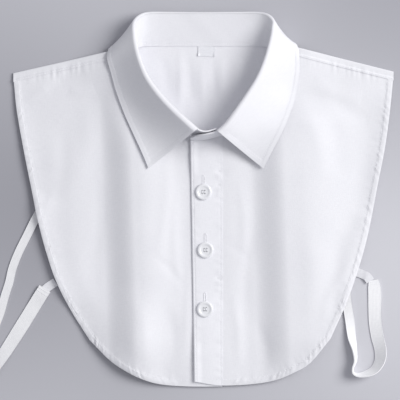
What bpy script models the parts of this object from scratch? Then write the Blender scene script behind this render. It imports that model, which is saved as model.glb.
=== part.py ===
"""Dickey: a false shirt front with a shirt collar, laid flat with its front up.

The tables are in millimetres, +X to the viewer's right, +Y towards the back of the neck and +Z up.
The origin is on the underside of the back panel, on the centre line of the closed front.
"""
import math
from collections import namedtuple

import bmesh
import bpy
from mathutils import Vector

MM = 0.001

# Cloth and seams
CLOTH = 1.1
GAP = 0.3
LAYER = CLOTH + GAP
LAP_LAYER = CLOTH + 0.5
HEM_WIDTH = 6.6
HEM_STEP = 0.8
HEM_RAISE = 0.6
BACK_INSET = 3.5

# Shoulders: the back's cloth turns forward over the fold and ends at the seam
SHOULDER_TURN = 8.3
SHOULDER_RADIUS = 1.6
SHOULDER_NECK_X = 71.0

# Collar
STAND_THICK = 1.4
LEAF_THICK = 1.2
STAND_SEAT = 1.7
LEAF_HOVER = 1.5
LEAF_UNDER_LIFT = 2.6

# Front closure
PLACKET_INNER_X = 18.0
UNDER_EDGE_X = 17.6
PLACKET_SETBACK = 0.8
LAP_FULL_X = 22.0
LAP_NONE_X = 48.0

# Buttons, 15 mm across with four holes
BUTTON_RADIUS = 7.6
BUTTON_HOLE_RADIUS = 0.95
BUTTON_HOLE_REACH = 1.55
BUTTON_STEPS = 20

# Elastic bands and the tabs that they are sewn to
BAND_THICK = 1.0
TABLE_GAP = 0.05
TAB_WIDTH = 8.2

# Bare woven label
LABEL_SIZE = (16.0, 8.7)
LABEL_CENTRE = (2.9, 140.6)
LABEL_TURN = math.radians(-2.0)
LABEL_THICK = 0.5

# Outline of each front, from the tip of its shoulder down its side and along its hem to the centre
Outline = namedtuple("Outline", "x y")
UNDER_SIDE = [
    Outline(-181.0, 119.7),
    Outline(-177.2, 85.0),
    Outline(-170.5, 47.0),
    Outline(-162.9, 9.0),
    Outline(-157.0, -19.5),
    Outline(-149.6, -48.0),
    Outline(-140.0, -76.5),
    Outline(-125.9, -105.0),
    Outline(-107.8, -133.5),
]
UNDER_HEM = [
    Outline(-107.8, -133.5),
    Outline(-88.5, -152.5),
    Outline(-71.7, -163.6),
    Outline(-54.6, -171.5),
    Outline(-38.0, -175.6),
    Outline(-12.8, -177.4),
    Outline(UNDER_EDGE_X, -177.4),
]
OVER_SIDE = [
    Outline(181.0, 121.1),
    Outline(177.4, 88.8),
    Outline(172.4, 50.8),
    Outline(165.0, 12.8),
    Outline(159.6, -15.7),
    Outline(153.2, -44.2),
    Outline(144.6, -72.7),
    Outline(134.0, -101.2),
    Outline(120.2, -131.6),
]
OVER_HEM = [
    Outline(120.2, -131.6),
    Outline(101.2, -154.4),
    Outline(86.0, -163.8),
    Outline(68.0, -171.3),
    Outline(45.0, -175.2),
    Outline(15.7, -176.3),
    Outline(-7.8, -172.6),
]

# Shoulder folds as straight lines: height at the neck side and at the tip
SHOULDERS = {
    -1: {"neck": (-92.0, 139.9), "tip": (-181.0, 119.7)},
    1: {"neck": (95.5, 142.5), "tip": (181.0, 121.1)},
}

# Left edge of the placket
PlacketEdge = namedtuple("PlacketEdge", "y x")
PLACKET_EDGE = [
    PlacketEdge(56.6, -12.4),
    PlacketEdge(8.0, -11.6),
    PlacketEdge(-96.0, -9.8),
    PlacketEdge(-172.4, -8.6),
]

# Soft folds that run down the fronts: each rises between two x places and falls between two others.
# The places are those at the fold level, and lean moves them for each millimetre above it.
FOLD_LEVEL = -30.0
Fold = namedtuple("Fold", "name rise_from rise_to fall_from fall_to height top low top_fade low_fade lean")
FOLDS = [
    Fold("wearer's right breast", -95, -65, -60, -12, 8.4, 112, -190, 28, 60, -0.035),
    Fold("wearer's left breast", 47, 79, 94, 160, 8.0, 100, -190, 30, 60, -0.035),
    Fold("wearer's right side", -176, -140, -128, -98, 1.8, 70, -110, 40, 40, 0.0),
    Fold("slope above the right hem", -122, -78, -68, -34, 5.6, -74, -190, 60, 50, 0.0),
    Fold("lower closure", -42, -15, 0, 44, 2.4, -66, -200, 56, 56, 0.0),
]

# The collar, a row for each section from the lapped end under the closure, round the back, to the
# end on top. seam is the stand's lower edge, fold its upper edge, edge the leaf's free edge. A seam
# or an edge with no height lies on the front below it. belly is how far the leaf rounds outwards, a
# settle over 1 lets it sink sooner than a straight fall, and roll is the radius of its fold.
Collar = namedtuple(
    "Collar", "place seam_x seam_y seam_z fold_x fold_y fold_z edge_x edge_y edge_z belly settle roll")
BARE = None
COLLAR = [
    Collar("under end", 13.0, 62.4, None, 12.2, 66.4, 31.0, BARE, BARE, BARE, 0, 1, 3.0),
    Collar("under centre", 3.0, 60.2, None, 3.0, 63.9, 31.8, BARE, BARE, BARE, 0, 1, 3.0),
    Collar("under point", -6.0, 60.0, None, -5.0, 65.6, 32.4, -51.9, 29.4, None, 0.2, 2.3, 3.2),
    Collar("under front", -20.0, 61.8, None, -14.2, 73.0, 32.4, -58.2, 44.4, None, 0.1, 2.3, 3.2),
    Collar("under breast", -40.0, 67.5, None, -27.9, 84.5, 31.5, -66.0, 61.4, None, 0.1, 2.2, 3.0),
    Collar("under curve", -56.0, 80.0, None, -40.2, 97.1, 30.0, -74.4, 80.0, None, 0.1, 2.0, 2.7),
    Collar("under side", -67.0, 93.0, None, -51.9, 112.6, 28.5, -82.4, 101.4, None, 0.2, 1.7, 2.4),
    Collar("under neck", -72.0, 108.0, None, -59.3, 129.4, 27.0, -87.6, 120.4, None, 0.4, 1.4, 2.0),
    Collar("under shoulder", -73.0, 122.0, None, -63.4, 145.4, 25.0, -90.8, 133.0, 9.2, 0.6, 1.1, 1.7),
    Collar("under turn", -71.0, 131.0, None, -64.6, 154.4, 22.5, -89.8, 141.2, 6.2, 0.6, 1, 1.5),
    Collar("under wrap", -69.5, 136.0, 7.3, -65.0, 160.4, 20.5, -89.0, 142.6, 2.4, 0.4, 1.3, 1.4),
    Collar("under corner", -67.0, 140.0, 6.2, -63.8, 166.5, 18.0, -86.2, 142.0, 1.0, 0, 2.4, 1.3),
    Collar("under nape corner", -61.0, 144.2, 5.0, -58.8, 171.8, 14.0, -77.0, 135.4, 0.9, 0, 3.2, 1.2),
    Collar("under nape", -52.0, 145.4, 3.9, -50.5, 174.6, 10.0, -60.0, 131.8, 0.85, 0, 3, 1.1),
    Collar("under back", -32.0, 145.4, 3.5, -32.0, 174.9, 7.6, -35.0, 131.0, 0.85, 0, 2, 1.1),
    Collar("back", 0.0, 145.4, 3.5, 0.0, 174.7, 7.2, 0.0, 131.0, 0.85, 0, 2, 1.1),
    Collar("over back", 32.0, 145.4, 3.5, 32.0, 174.9, 7.6, 35.0, 131.0, 0.85, 0, 2, 1.1),
    Collar("over nape", 52.0, 145.4, 3.9, 51.0, 174.6, 10.0, 60.0, 131.8, 0.85, 0, 3, 1.1),
    Collar("over nape corner", 61.5, 144.2, 5.0, 60.0, 172.0, 14.0, 76.0, 136.4, 0.9, 0, 3.2, 1.2),
    Collar("over corner", 67.0, 140.0, 6.2, 64.6, 166.4, 18.0, 84.4, 144.8, 1.0, 0, 2.4, 1.3),
    Collar("over wrap", 69.0, 136.0, 7.3, 64.4, 160.4, 20.5, 87.2, 146.4, 2.4, 0.4, 1.3, 1.4),
    Collar("over turn", 70.3, 131.0, None, 63.8, 154.4, 22.5, 88.2, 145.6, 6.2, 0.6, 1, 1.5),
    Collar("over shoulder", 71.5, 121.0, None, 61.8, 145.2, 25.0, 90.2, 138.0, 9.4, 0.6, 1.1, 1.6),
    Collar("over neck", 70.0, 107.0, None, 57.2, 128.9, 27.0, 90.9, 121.4, None, 0.5, 1.3, 1.8),
    Collar("over side", 64.0, 92.0, None, 50.0, 112.4, 28.5, 88.0, 101.0, None, 0.3, 1.5, 2.0),
    Collar("over curve", 53.0, 79.0, None, 39.9, 96.5, 30.0, 82.2, 82.0, None, 0.2, 1.7, 2.2),
    Collar("over breast", 38.0, 69.5, None, 29.3, 82.0, 31.5, 74.4, 63.8, None, 0.1, 2.1, 2.4),
    Collar("over front", 26.0, 64.0, None, 20.4, 70.8, 32.4, 65.0, 45.4, None, 0.1, 2.3, 2.4),
    Collar("over point", 16.0, 60.4, None, 12.8, 64.2, 32.6, 56.8, 29.4, None, 0.2, 2.3, 2.4),
    Collar("over centre", 3.0, 57.2, None, 2.4, 61.2, 31.6, BARE, BARE, BARE, 0, 1, 2.4),
    Collar("over tab", -6.0, 56.6, None, -5.8, 60.2, 27.0, BARE, BARE, BARE, 0, 1, 2.4),
    Collar("over end", -12.4, 56.4, None, -12.2, 58.4, 17.0, BARE, BARE, BARE, 0, 1, 2.4),
]
COLLAR_SPANS = 2
STAND_ROWS = 5
# How far a section is pulled square to the fold, against the pull of a point's own direction
FALL_SQUARENESS = 15.0
ROLL_POINTS = 5
FALL_POINTS = 6

# The elastic bands: centre line, width and roll, the angle by which the outer edge stands up
Band = namedtuple("Band", "x y z width roll")
BAND_RIGHT = [
    Band(161.4, -76.6, 0.7, 9.0, 0),
    Band(162.2, -82.2, 0.7, 11.4, 0),
    Band(162.7, -90.7, 0.7, 12.2, 0),
    Band(162.7, -103.0, 0.9, 12.0, 4),
    Band(163.0, -116.4, 1.4, 11.6, 10),
    Band(165.0, -129.7, 2.4, 11.8, 18),
    Band(167.8, -142.0, 3.8, 12.0, 30),
    Band(167.4, -152.4, 4.8, 12.0, 42),
    Band(162.4, -161.0, 5.4, 11.6, 55),
    Band(154.4, -165.2, 5.6, 11.0, 66),
    Band(146.8, -166.4, 5.4, 10.4, 76),
    Band(142.2, -164.6, 5.3, 10.0, 82),
    Band(141.8, -160.0, 5.2, 9.8, 80),
    Band(144.2, -152.4, 4.9, 9.4, 72),
    Band(143.2, -142.0, 4.2, 9.0, 58),
    Band(140.7, -130.6, 2.6, 8.8, 28),
    Band(139.1, -116.4, 1.5, 8.8, 8),
    Band(137.1, -103.0, 1.5, 8.6, 0),
    Band(135.6, -90.0, 1.95, 8.6, 0),
    Band(136.4, -74.0, 1.95, 8.6, 0),
    Band(139.6, -55.6, 1.95, 8.6, 0),
    Band(145.4, -37.0, 1.95, 8.6, 0),
    Band(152.0, -21.5, 1.95, 8.6, 0),
]
BAND_LEFT = [
    Band(-150.4, -84.6, 2.0, 12.2, 0),
    Band(-154.4, -90.8, 2.0, 12.4, 0),
    Band(-160.0, -99.8, 0.9, 12.5, 0),
    Band(-166.0, -109.6, 0.7, 12.5, 0),
    Band(-174.3, -123.0, 0.8, 12.5, 3),
    Band(-188.0, -144.4, 1.2, 11.6, 8),
    Band(-200.0, -161.4, 2.6, 10.6, 24),
    Band(-207.4, -168.2, 4.2, 10.0, 48),
    Band(-213.4, -165.4, 5.0, 9.4, 72),
    Band(-213.4, -155.4, 4.4, 9.0, 58),
    Band(-207.6, -141.0, 2.4, 8.6, 24),
    Band(-200.2, -125.4, 1.2, 8.2, 8),
    Band(-193.2, -108.4, 0.8, 8.0, 2),
    Band(-188.6, -92.0, 0.7, 7.8, 0),
    Band(-184.3, -78.4, 0.7, 7.8, 0),
    Band(-181.2, -65.1, 0.7, 7.8, 0),
    Band(-175.3, -49.9, 0.7, 7.8, 0),
    Band(-167.7, -34.7, 0.9, 7.8, 0),
    Band(-159.6, -18.5, 1.8, 7.8, 0),
    Band(-152.6, -6.2, 1.95, 7.8, 0),
]
BAND_SPANS = 2
BAND_LIFT = 1.7
BAND_LIFT_REACH = 10.0
# How many of a band's last rows lie hidden between the panels
BAND_RIGHT_HIDDEN = 6
BAND_LEFT_HIDDEN = 2

# The tabs, from under the fronts' side hems out to the bands
TAB_RIGHT = [(143.8, -68.3, 0.6), (147.2, -69.5, 0.6), (151.0, -71.0, 1.0), (155.2, -73.0, 2.0),
             (158.4, -77.4, 2.0)]
TAB_LEFT = [(-140.4, -78.4, 0.6), (-143.6, -80.4, 0.6), (-147.8, -83.2, 0.6), (-152.2, -87.0, 0.6)]

BUTTON_PLACES = [(0.0, 7.1), (1.9, -48.0), (1.4, -104.0)]


def smooth(value, low, high):
    """A soft step from 0 at low to 1 at high."""
    part = min(1.0, max(0.0, (value - low) / (high - low)))
    return part * part * (3.0 - 2.0 * part)


def curve_through(points, spans):
    """A smooth curve through the points, with spans steps between each two."""
    ends = [points[0] * 2 - points[1]] + list(points) + [points[-1] * 2 - points[-2]]
    line = []
    for before, start, end, after in zip(ends, ends[1:], ends[2:], ends[3:]):
        for step in range(spans):
            t = step / spans
            line.append(0.5 * (
                start * 2 + (end - before) * t
                + (before * 2 - start * 5 + end * 4 - after) * t * t
                + (start * 3 - before - end * 3 + after) * t * t * t))
    line.append(points[-1].copy())
    return line


def plan(points, spans=4):
    """A smooth curve in plan through (x, y) points."""
    return curve_through([Vector((x, y, 0.0)) for x, y in points], spans)


def lengths(line):
    """The length of a line up to each of its points."""
    total = [0.0]
    for start, end in zip(line, line[1:]):
        total.append(total[-1] + (end - start).length)
    return total


def along(line, fraction):
    """The point at a fraction of a line's length."""
    total = lengths(line)
    reach = fraction * total[-1]
    for i in range(len(line) - 1):
        if reach <= total[i + 1] + 1e-9:
            part = (reach - total[i]) / max(total[i + 1] - total[i], 1e-9)
            return line[i].lerp(line[i + 1], min(1.0, max(0.0, part)))
    return line[-1].copy()


def even(count, start=0.0, end=1.0):
    """Evenly spaced values from start to end."""
    return [start + (end - start) * i / count for i in range(count + 1)]


def shoulder_y(x):
    """The shoulder fold's y at x."""
    ends = SHOULDERS[-1 if x < 0 else 1]
    (neck_x, neck_y), (tip_x, tip_y) = ends["neck"], ends["tip"]
    return neck_y + (x - neck_x) * (tip_y - neck_y) / (tip_x - neck_x)


def seam_points(first, last):
    """The collar seam in plan, from one row of the collar table to another."""
    return [(row.seam_x, row.seam_y) for row in COLLAR[first:last + 1]]


LAST = len(COLLAR) - 1
TURN_UNDER = 9
TURN_OVER = 21
UNDER_NECKLINE = seam_points(2, TURN_UNDER)
OVER_NECKLINE = seam_points(TURN_OVER, LAST)
FRONT_SEAM = plan(UNDER_NECKLINE) + plan(OVER_NECKLINE)
HIDDEN_BANDS = [
    Vector((row.x, row.y, 0.0))
    for row in BAND_RIGHT[-BAND_RIGHT_HIDDEN:] + BAND_LEFT[-BAND_LEFT_HIDDEN:]
]
HIDDEN_LINES = [
    curve_through(HIDDEN_BANDS[:BAND_RIGHT_HIDDEN], 4),
    curve_through(HIDDEN_BANDS[BAND_RIGHT_HIDDEN:], 4),
]


def reach_to(place, line):
    """The distance in plan from a place to the nearest point of a line."""
    return min((place - point).length for point in line)


def back_height(x, y):
    """Middle of the back panel: flat on the table, and lifted where the leaf lies under it."""
    lift = smooth(y, 90, 126) * (1.0 - smooth(abs(x), 95, 135))
    return CLOTH / 2 + LEAF_UNDER_LIFT * lift


def fold_height(x, y):
    """Sum of the soft folds in the fronts."""
    height = 0.0
    for fold in FOLDS:
        place = x - fold.lean * (y - FOLD_LEVEL)
        across = smooth(place, fold.rise_from, fold.rise_to)
        across *= 1 - smooth(place, fold.fall_from, fold.fall_to)
        down = smooth(y, fold.low, fold.low + fold.low_fade)
        down *= 1 - smooth(y, fold.top - fold.top_fade, fold.top)
        height += fold.height * across * down
    return height


def ground(x, y):
    """Middle of the lower front, which the other layers are counted from."""
    place = Vector((x, y, 0.0))
    near_neck = math.exp(-(reach_to(place, FRONT_SEAM) / 26.0) ** 2)
    rise = 1.6 + 2.2 * math.exp(-(x / 40.0) ** 2)
    away = 1.0 - math.exp(-(reach_to(place, FRONT_SEAM) / 20.0) ** 2)
    near_band = math.exp(-(min(reach_to(place, line) for line in HIDDEN_LINES) / BAND_LIFT_REACH) ** 2)
    return (back_height(x, y) + LAYER + fold_height(x, y) * away + rise * near_neck
            + BAND_LIFT * near_band)


def over_height(x, y):
    """Middle of the front that laps over, one layer up where it lies on the other front."""
    return ground(x, y) + LAP_LAYER * (1.0 - smooth(x, LAP_FULL_X, LAP_NONE_X))


def placket_height(x, y):
    """Middle of the placket."""
    return over_height(x, y) + LAYER


def surface_below(x, y, row):
    """Middle of the cloth that a collar row stands on."""
    if row <= TURN_UNDER:
        return ground(x, y)
    if x < PLACKET_INNER_X + 9.0:
        return placket_height(x, y)
    return over_height(x, y)


def placket_left(y):
    """The placket's left edge at y."""
    rows = PLACKET_EDGE
    for upper, lower in zip(rows, rows[1:]):
        if y >= lower.y:
            return upper.x + (lower.x - upper.x) * (upper.y - y) / (upper.y - lower.y)
    return rows[-1].x


def new_object(name, mesh):
    """Put a mesh in the part's collection under the node's name."""
    piece = bpy.data.objects.new(name, mesh)
    parts.objects.link(piece)
    return piece


def mesh_from(name, points, faces, smooth_angle=35.0):
    """A mesh in metres from points in millimetres, with its faces turned outwards."""
    mesh = bpy.data.meshes.new(name)
    mesh.from_pydata([point * MM for point in points], [], faces)
    work = bmesh.new()
    work.from_mesh(mesh)
    bmesh.ops.recalc_face_normals(work, faces=work.faces)
    work.to_mesh(mesh)
    work.free()
    mesh.shade_smooth()
    mesh.set_sharp_from_angle(angle=math.radians(smooth_angle))
    return mesh


def wall(name, upper, lower):
    """A closed wall between an upper and a lower grid of points."""
    rows, columns = len(upper), len(upper[0])
    points = [p for row in upper for p in row] + [p for row in lower for p in row]
    below = rows * columns
    faces = []
    for r in range(rows - 1):
        for c in range(columns - 1):
            a = r * columns + c
            for ring in ((a, a + 1, a + columns + 1), (a, a + columns + 1, a + columns)):
                faces.append(ring)
                faces.append(tuple(i + below for i in reversed(ring)))
    rim = [c for c in range(columns)]
    rim += [r * columns + columns - 1 for r in range(1, rows)]
    rim += [(rows - 1) * columns + c for c in range(columns - 2, -1, -1)]
    rim += [r * columns for r in range(rows - 2, 0, -1)]
    for a, b in zip(rim, rim[1:] + rim[:1]):
        faces.append((b, a, a + below, b + below))
    return new_object(name, mesh_from(name, points, faces))


def wall_on_middle(name, middle, thick):
    """A closed wall of even thickness about a grid of middle points."""
    rows, columns = len(middle), len(middle[0])
    upper, lower = [], []
    for r in range(rows):
        upper.append([])
        lower.append([])
        for c in range(columns):
            along_row = middle[r][min(c + 1, columns - 1)] - middle[r][max(c - 1, 0)]
            along_column = middle[min(r + 1, rows - 1)][c] - middle[max(r - 1, 0)][c]
            normal = along_row.cross(along_column).normalized()
            upper[r].append(middle[r][c] + normal * thick / 2)
            lower[r].append(middle[r][c] - normal * thick / 2)
    return wall(name, upper, lower)


def patch(left, right, top, bottom, rows, columns):
    """Places in plan filled in between four boundary lines.

    rows are fractions down the left and right lines. columns gives the fractions across for the
    width of a row.
    """
    grid = []
    for t in rows:
        start, end = along(left, t), along(right, t)
        grid.append([])
        for s in columns((end - start).length):
            above, below = along(top, s), along(bottom, s)
            corners = (left[0].lerp(right[0], s)).lerp(left[-1].lerp(right[-1], s), t)
            grid[-1].append(start.lerp(end, s) + above.lerp(below, t) - corners)
    return grid


def hem_rows(count_neck, count_centre, corner, height):
    """Fractions down a front, with a row at the neckline's corner and two at the hem's step."""
    upper = even(count_neck, 0.0, corner)
    lower = even(count_centre, corner, 1.0 - HEM_WIDTH / height)
    return upper + lower[1:] + [1.0 - (HEM_WIDTH - HEM_STEP) / height, 1.0]


def hem_columns(count):
    """Fractions across a front, with two at the side hem's step."""
    def for_width(width):
        step = [0.0, (HEM_WIDTH - HEM_STEP) / width, HEM_WIDTH / width]
        return step + even(count, step[-1], 1.0)[1:]
    return for_width


def lift_grid(grid, height, hem_from=None):
    """Upper and lower points of a panel, with its hem raised outside hem_from."""
    upper, lower = [], []
    last = len(grid) - 1
    for r, row in enumerate(grid):
        upper.append([])
        lower.append([])
        for c, place in enumerate(row):
            middle = height(place.x, place.y)
            raised = 0.0
            if hem_from is not None and (c <= 1 or r >= last - 1):
                raised = HEM_RAISE * smooth(abs(place.x), hem_from, hem_from + 6.0)
            upper[r].append(Vector((place.x, place.y, middle + CLOTH / 2 + raised)))
            lower[r].append(Vector((place.x, place.y, middle - CLOTH / 2)))
    return upper, lower


def front_panel(name, side, hem, neckline, centre_x, height, hem_from):
    """One front: side edge, hem, neckline and centre edge round a patch of cloth."""
    sign = -1 if side[0].x < 0 else 1
    seam_drop = SHOULDER_TURN + GAP
    neck = (sign * (SHOULDER_NECK_X + 0.6), shoulder_y(sign * (SHOULDER_NECK_X + 0.6)) - seam_drop)
    tip = (side[0].x - sign * 1.0, shoulder_y(side[0].x) - seam_drop)
    left = plan([tip] + [(p.x, p.y) for p in side[1:]])
    top = plan([tip, neck], 8)
    bottom = plan([(p.x, p.y) for p in hem])
    neck_line = plan([neck] + neckline)
    edge_count = 12
    corner_y = neckline[-1][1]
    hem_y = hem[-1].y
    centre = [Vector((centre_x(y), y, 0.0)) for y in even(edge_count, corner_y, hem_y)]
    neck_line[-1] = centre[0]
    right = neck_line + centre[1:]
    corner = lengths(neck_line)[-1] / lengths(right)[-1]
    rows = hem_rows(9, 12, corner, lengths(left)[-1])
    grid = patch(left, right, top, bottom, rows, hem_columns(16))
    upper, lower = lift_grid(grid, height, hem_from)
    return wall(name, upper, lower)


def back_panel():
    """The back, just inside the fronts' outline, up to the shoulder folds and the neck seam."""
    left = plan([(p.x + BACK_INSET, p.y) for p in UNDER_SIDE])
    right = plan([(p.x - BACK_INSET, p.y) for p in OVER_SIDE])
    left[0].y = shoulder_y(left[0].x) - SHOULDER_RADIUS - GAP
    right[0].y = shoulder_y(right[0].x) - SHOULDER_RADIUS - GAP
    neck_x = SHOULDER_NECK_X
    neck = [
        (-neck_x, shoulder_y(-neck_x) - SHOULDER_RADIUS - GAP - 0.6),
        (-61.0, 143.7),
        (-50.0, 145.1),
        (0.0, 145.1),
        (50.0, 145.1),
        (61.5, 143.7),
        (neck_x, shoulder_y(neck_x) - SHOULDER_RADIUS - GAP - 3.0),
    ]
    top = [left[0]] + plan(neck, 3) + [right[0]]
    hem = [(p.x, p.y + BACK_INSET) for p in UNDER_HEM[1:-1]]
    hem += [(p.x, p.y + BACK_INSET) for p in reversed(OVER_HEM[1:-1])]
    bottom = plan([(left[-1].x, left[-1].y)] + hem + [(right[-1].x, right[-1].y)])
    grid = patch(left, right, top, bottom, even(16), lambda width: even(26))
    upper, lower = lift_grid(grid, back_height)
    return wall("back_panel", upper, lower)


def placket():
    """The folded strip along the lapping front's edge, raised from that front's own surface."""
    top = placket_rows_top()
    bottom = plan([(p.x, p.y) for p in OVER_HEM])
    upper, lower = [], []
    for t in even(26):
        upper.append([])
        lower.append([])
        for s in even(5):
            top_x = PLACKET_EDGE[0].x + (PLACKET_INNER_X - PLACKET_EDGE[0].x) * s
            low_x = PLACKET_EDGE[-1].x + (PLACKET_INNER_X - PLACKET_EDGE[-1].x) * s
            high_y, low_y = line_y(top, top_x), line_y(bottom, low_x)
            y = high_y + (low_y - high_y) * t
            left = placket_left(y)
            x = left + (PLACKET_INNER_X - left) * s
            middle = placket_height(x, y)
            upper[-1].append(Vector((x, y, middle + CLOTH / 2)))
            lower[-1].append(Vector((x, y, middle - CLOTH / 2)))
    return wall("placket", upper, lower)


def placket_rows_top():
    """The collar seam over the placket, which the placket's top edge follows."""
    return plan(seam_points(LAST - 4, LAST))


def line_y(line, x):
    """The y of a line in plan at x."""
    ordered = sorted(line, key=lambda point: point.x)
    for start, end in zip(ordered, ordered[1:]):
        if x <= end.x:
            return start.y + (end.y - start.y) * (x - start.x) / max(end.x - start.x, 1e-9)
    return ordered[-1].y


def shoulder_turn(name, sign):
    """The back's cloth over one shoulder fold, from the back panel's edge to the front's seam."""
    turn = SHOULDER_RADIUS
    half = CLOTH / 2
    outer, inner = [], []
    for x in even(14, sign * (abs(SHOULDERS[sign]["tip"][0]) - 0.6), sign * SHOULDER_NECK_X):
        fold_y = shoulder_y(x)
        low = back_height(x, fold_y - turn)
        high = ground(x, fold_y - turn)
        middle = (low + high) / 2
        outside = [(turn, low - half), (0.5, low - half * 0.8), (0.0, middle), (0.5, high + half * 0.8)]
        outside.append((turn, high + half))
        inside = [(turn, low + half), (turn * 0.8, low + half), (CLOTH, middle), (turn * 0.8, high - half)]
        inside.append((turn, high - half))
        for inward in (SHOULDER_TURN * 0.6, SHOULDER_TURN):
            level = ground(x, fold_y - inward)
            outside.append((inward, level + half))
            inside.append((inward, level - half))
        outer.append([Vector((x, fold_y - inward, z)) for inward, z in outside])
        inner.append([Vector((x, fold_y - inward, z)) for inward, z in inside])
    return wall(name, outer, inner)


def collar_lines():
    """The collar's seam, fold, leaf edge and belly at every section, from the table's rows."""
    seams, folds, edges = [], [], []
    for i, row in enumerate(COLLAR):
        seam_z = row.seam_z
        if seam_z is None:
            seam_z = surface_below(row.seam_x, row.seam_y, i) + STAND_SEAT
        seams.append(Vector((row.seam_x, row.seam_y, seam_z)))
        folds.append(Vector((row.fold_x, row.fold_y, row.fold_z)))
        if row.edge_x is not BARE:
            edge_z = row.edge_z
            if edge_z is None:
                top = ground if row.edge_x < 0 else over_height
                edge_z = top(row.edge_x, row.edge_y) + LEAF_HOVER + LEAF_THICK / 2
            edges.append(Vector((row.edge_x, row.edge_y, edge_z)))
    return seams, folds, edges


def collar_stand(seams, folds):
    """The band round the neck, from its seam to the collar's fold."""
    lower, upper = curve_through(seams, COLLAR_SPANS), curve_through(folds, COLLAR_SPANS)
    grid = [[low.lerp(high, s) for s in even(STAND_ROWS - 1)] for low, high in zip(lower, upper)]
    return wall_on_middle("collar_stand", grid, STAND_THICK)


def leaf_section(seam, fold, edge, belly, settle, roll, heading):
    """One section of the leaf: round over the stand's top, then down to its free edge."""
    up = (fold - seam).normalized()
    start = fold + up * (GAP + LEAF_THICK / 2)
    fall = edge - start
    side = fall - up * fall.dot(up) + up.cross(heading).normalized() * FALL_SQUARENESS
    side = (side - up * side.dot(up)).normalized()
    centre = start + side * roll
    reach = edge - centre
    rise, out = reach.dot(up), reach.dot(side)
    leave = math.atan2(out, rise) % math.tau + math.asin(roll / math.hypot(rise, out))
    points = []
    for angle in even(ROLL_POINTS, 0.0, leave):
        points.append(centre - side * roll * math.cos(angle) + up * roll * math.sin(angle))
    last = points[-1]
    outward = up * math.sin(leave) - side * math.cos(leave)
    for t in even(FALL_POINTS)[1:]:
        point = last.lerp(edge, t) + outward * belly * math.sin(math.pi * t)
        point.z += (last.z - edge.z) * ((1.0 - t) ** settle - (1.0 - t))
        points.append(point)
    return points


def collar_leaf(seams, folds, edges):
    """The turned-down collar, from the under point round the back to the over point."""
    rows = [row for row in COLLAR if row.edge_x is not BARE]
    first = COLLAR.index(rows[0])
    stop = first + len(rows)
    shapes = [Vector((row.belly, row.settle, row.roll)) for row in rows]
    lines = [seams[first:stop], folds[first:stop], edges, shapes]
    smooth_lines = [curve_through(line, COLLAR_SPANS) for line in lines]
    heads = [after - before for before, after in zip(
        smooth_lines[1][:1] + smooth_lines[1][:-1], smooth_lines[1][1:] + smooth_lines[1][-1:])]
    grid = [leaf_section(s, f, e, b.x, b.y, b.z, h) for s, f, e, b, h in zip(*smooth_lines, heads)]
    return wall_on_middle("collar_leaf", grid, LEAF_THICK)


def tape(name, middles, widths, rolls, thick):
    """A flat tape along a line, a width across and rolled by an angle at each point."""
    grid = []
    last = len(middles) - 1
    for i, middle in enumerate(middles):
        heading = middles[min(i + 1, last)] - middles[max(i - 1, 0)]
        across = Vector((-heading.y, heading.x, 0.0)).normalized()
        across = across * math.cos(rolls[i]) + Vector((0.0, 0.0, math.sin(rolls[i])))
        grid.append([middle + across * widths[i] * s for s in (-0.5, 0.0, 0.5)])
    return wall_on_middle(name, grid, thick)


def band(name, rows):
    """One elastic band from its table."""
    middles = curve_through([Vector((row.x, row.y, row.z)) for row in rows], BAND_SPANS)
    shapes = curve_through([Vector((row.width, row.roll, 0.0)) for row in rows], BAND_SPANS)
    widths = [shape.x for shape in shapes]
    rolls = [math.radians(shape.y) for shape in shapes]
    for middle, width, roll in zip(middles, widths, rolls):
        lowest = width / 2 * abs(math.sin(roll)) + BAND_THICK / 2 * math.cos(roll) + TABLE_GAP
        middle.z = max(middle.z, lowest)
    return tape(name, middles, widths, rolls, BAND_THICK)


def tab(name, places):
    """The short tab that joins a front's side hem to its band."""
    middles = curve_through([Vector(place) for place in places], BAND_SPANS)
    count = len(middles)
    return tape(name, middles, [TAB_WIDTH] * count, [0.0] * count, BAND_THICK)


def button(name, x, y):
    """A shirt button: a turned disc with a raised rim and four drilled holes."""
    profile = [
        (0.0, 1.7), (4.5, 1.7), (5.3, 2.5), (6.4, 2.8), (7.3, 2.3),
        (BUTTON_RADIUS, 1.6), (6.6, 0.5), (5.2, 0.0), (0.0, 0.0),
    ]
    mesh = bpy.data.meshes.new(name)
    points = [Vector((r, 0.0, z)) * MM for r, z in profile]
    mesh.from_pydata(points, [(i, i + 1) for i in range(len(points) - 1)], [])
    piece = new_object(name, mesh)
    screw = piece.modifiers.new("turned", "SCREW")
    screw.steps = BUTTON_STEPS
    screw.render_steps = BUTTON_STEPS
    screw.use_merge_vertices = True
    screw.merge_threshold = 0.00001
    screw.use_smooth_shade = False
    height = placket_height(x, y) + CLOTH / 2 + GAP + 0.15
    piece.location = Vector((x, y, height)) * MM
    for number in range(4):
        angle = math.radians(45 + 90 * number)
        reach = Vector((math.cos(angle), math.sin(angle), 0.0)) * BUTTON_HOLE_REACH
        bpy.ops.mesh.primitive_cylinder_add(
            vertices=8, radius=BUTTON_HOLE_RADIUS * MM, depth=8.0 * MM,
            location=piece.location + reach * MM)
        drill = bpy.context.object
        drill.name = f"{name}_drill_{number + 1}"
        drill.hide_render = True
        drill.display_type = "WIRE"
        for owner in list(drill.users_collection):
            owner.objects.unlink(drill)
        cutters.objects.link(drill)
        hole = piece.modifiers.new(f"hole {number + 1}", "BOOLEAN")
        hole.operation = "DIFFERENCE"
        hole.object = drill
        hole.solver = "EXACT"
    return piece


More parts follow.
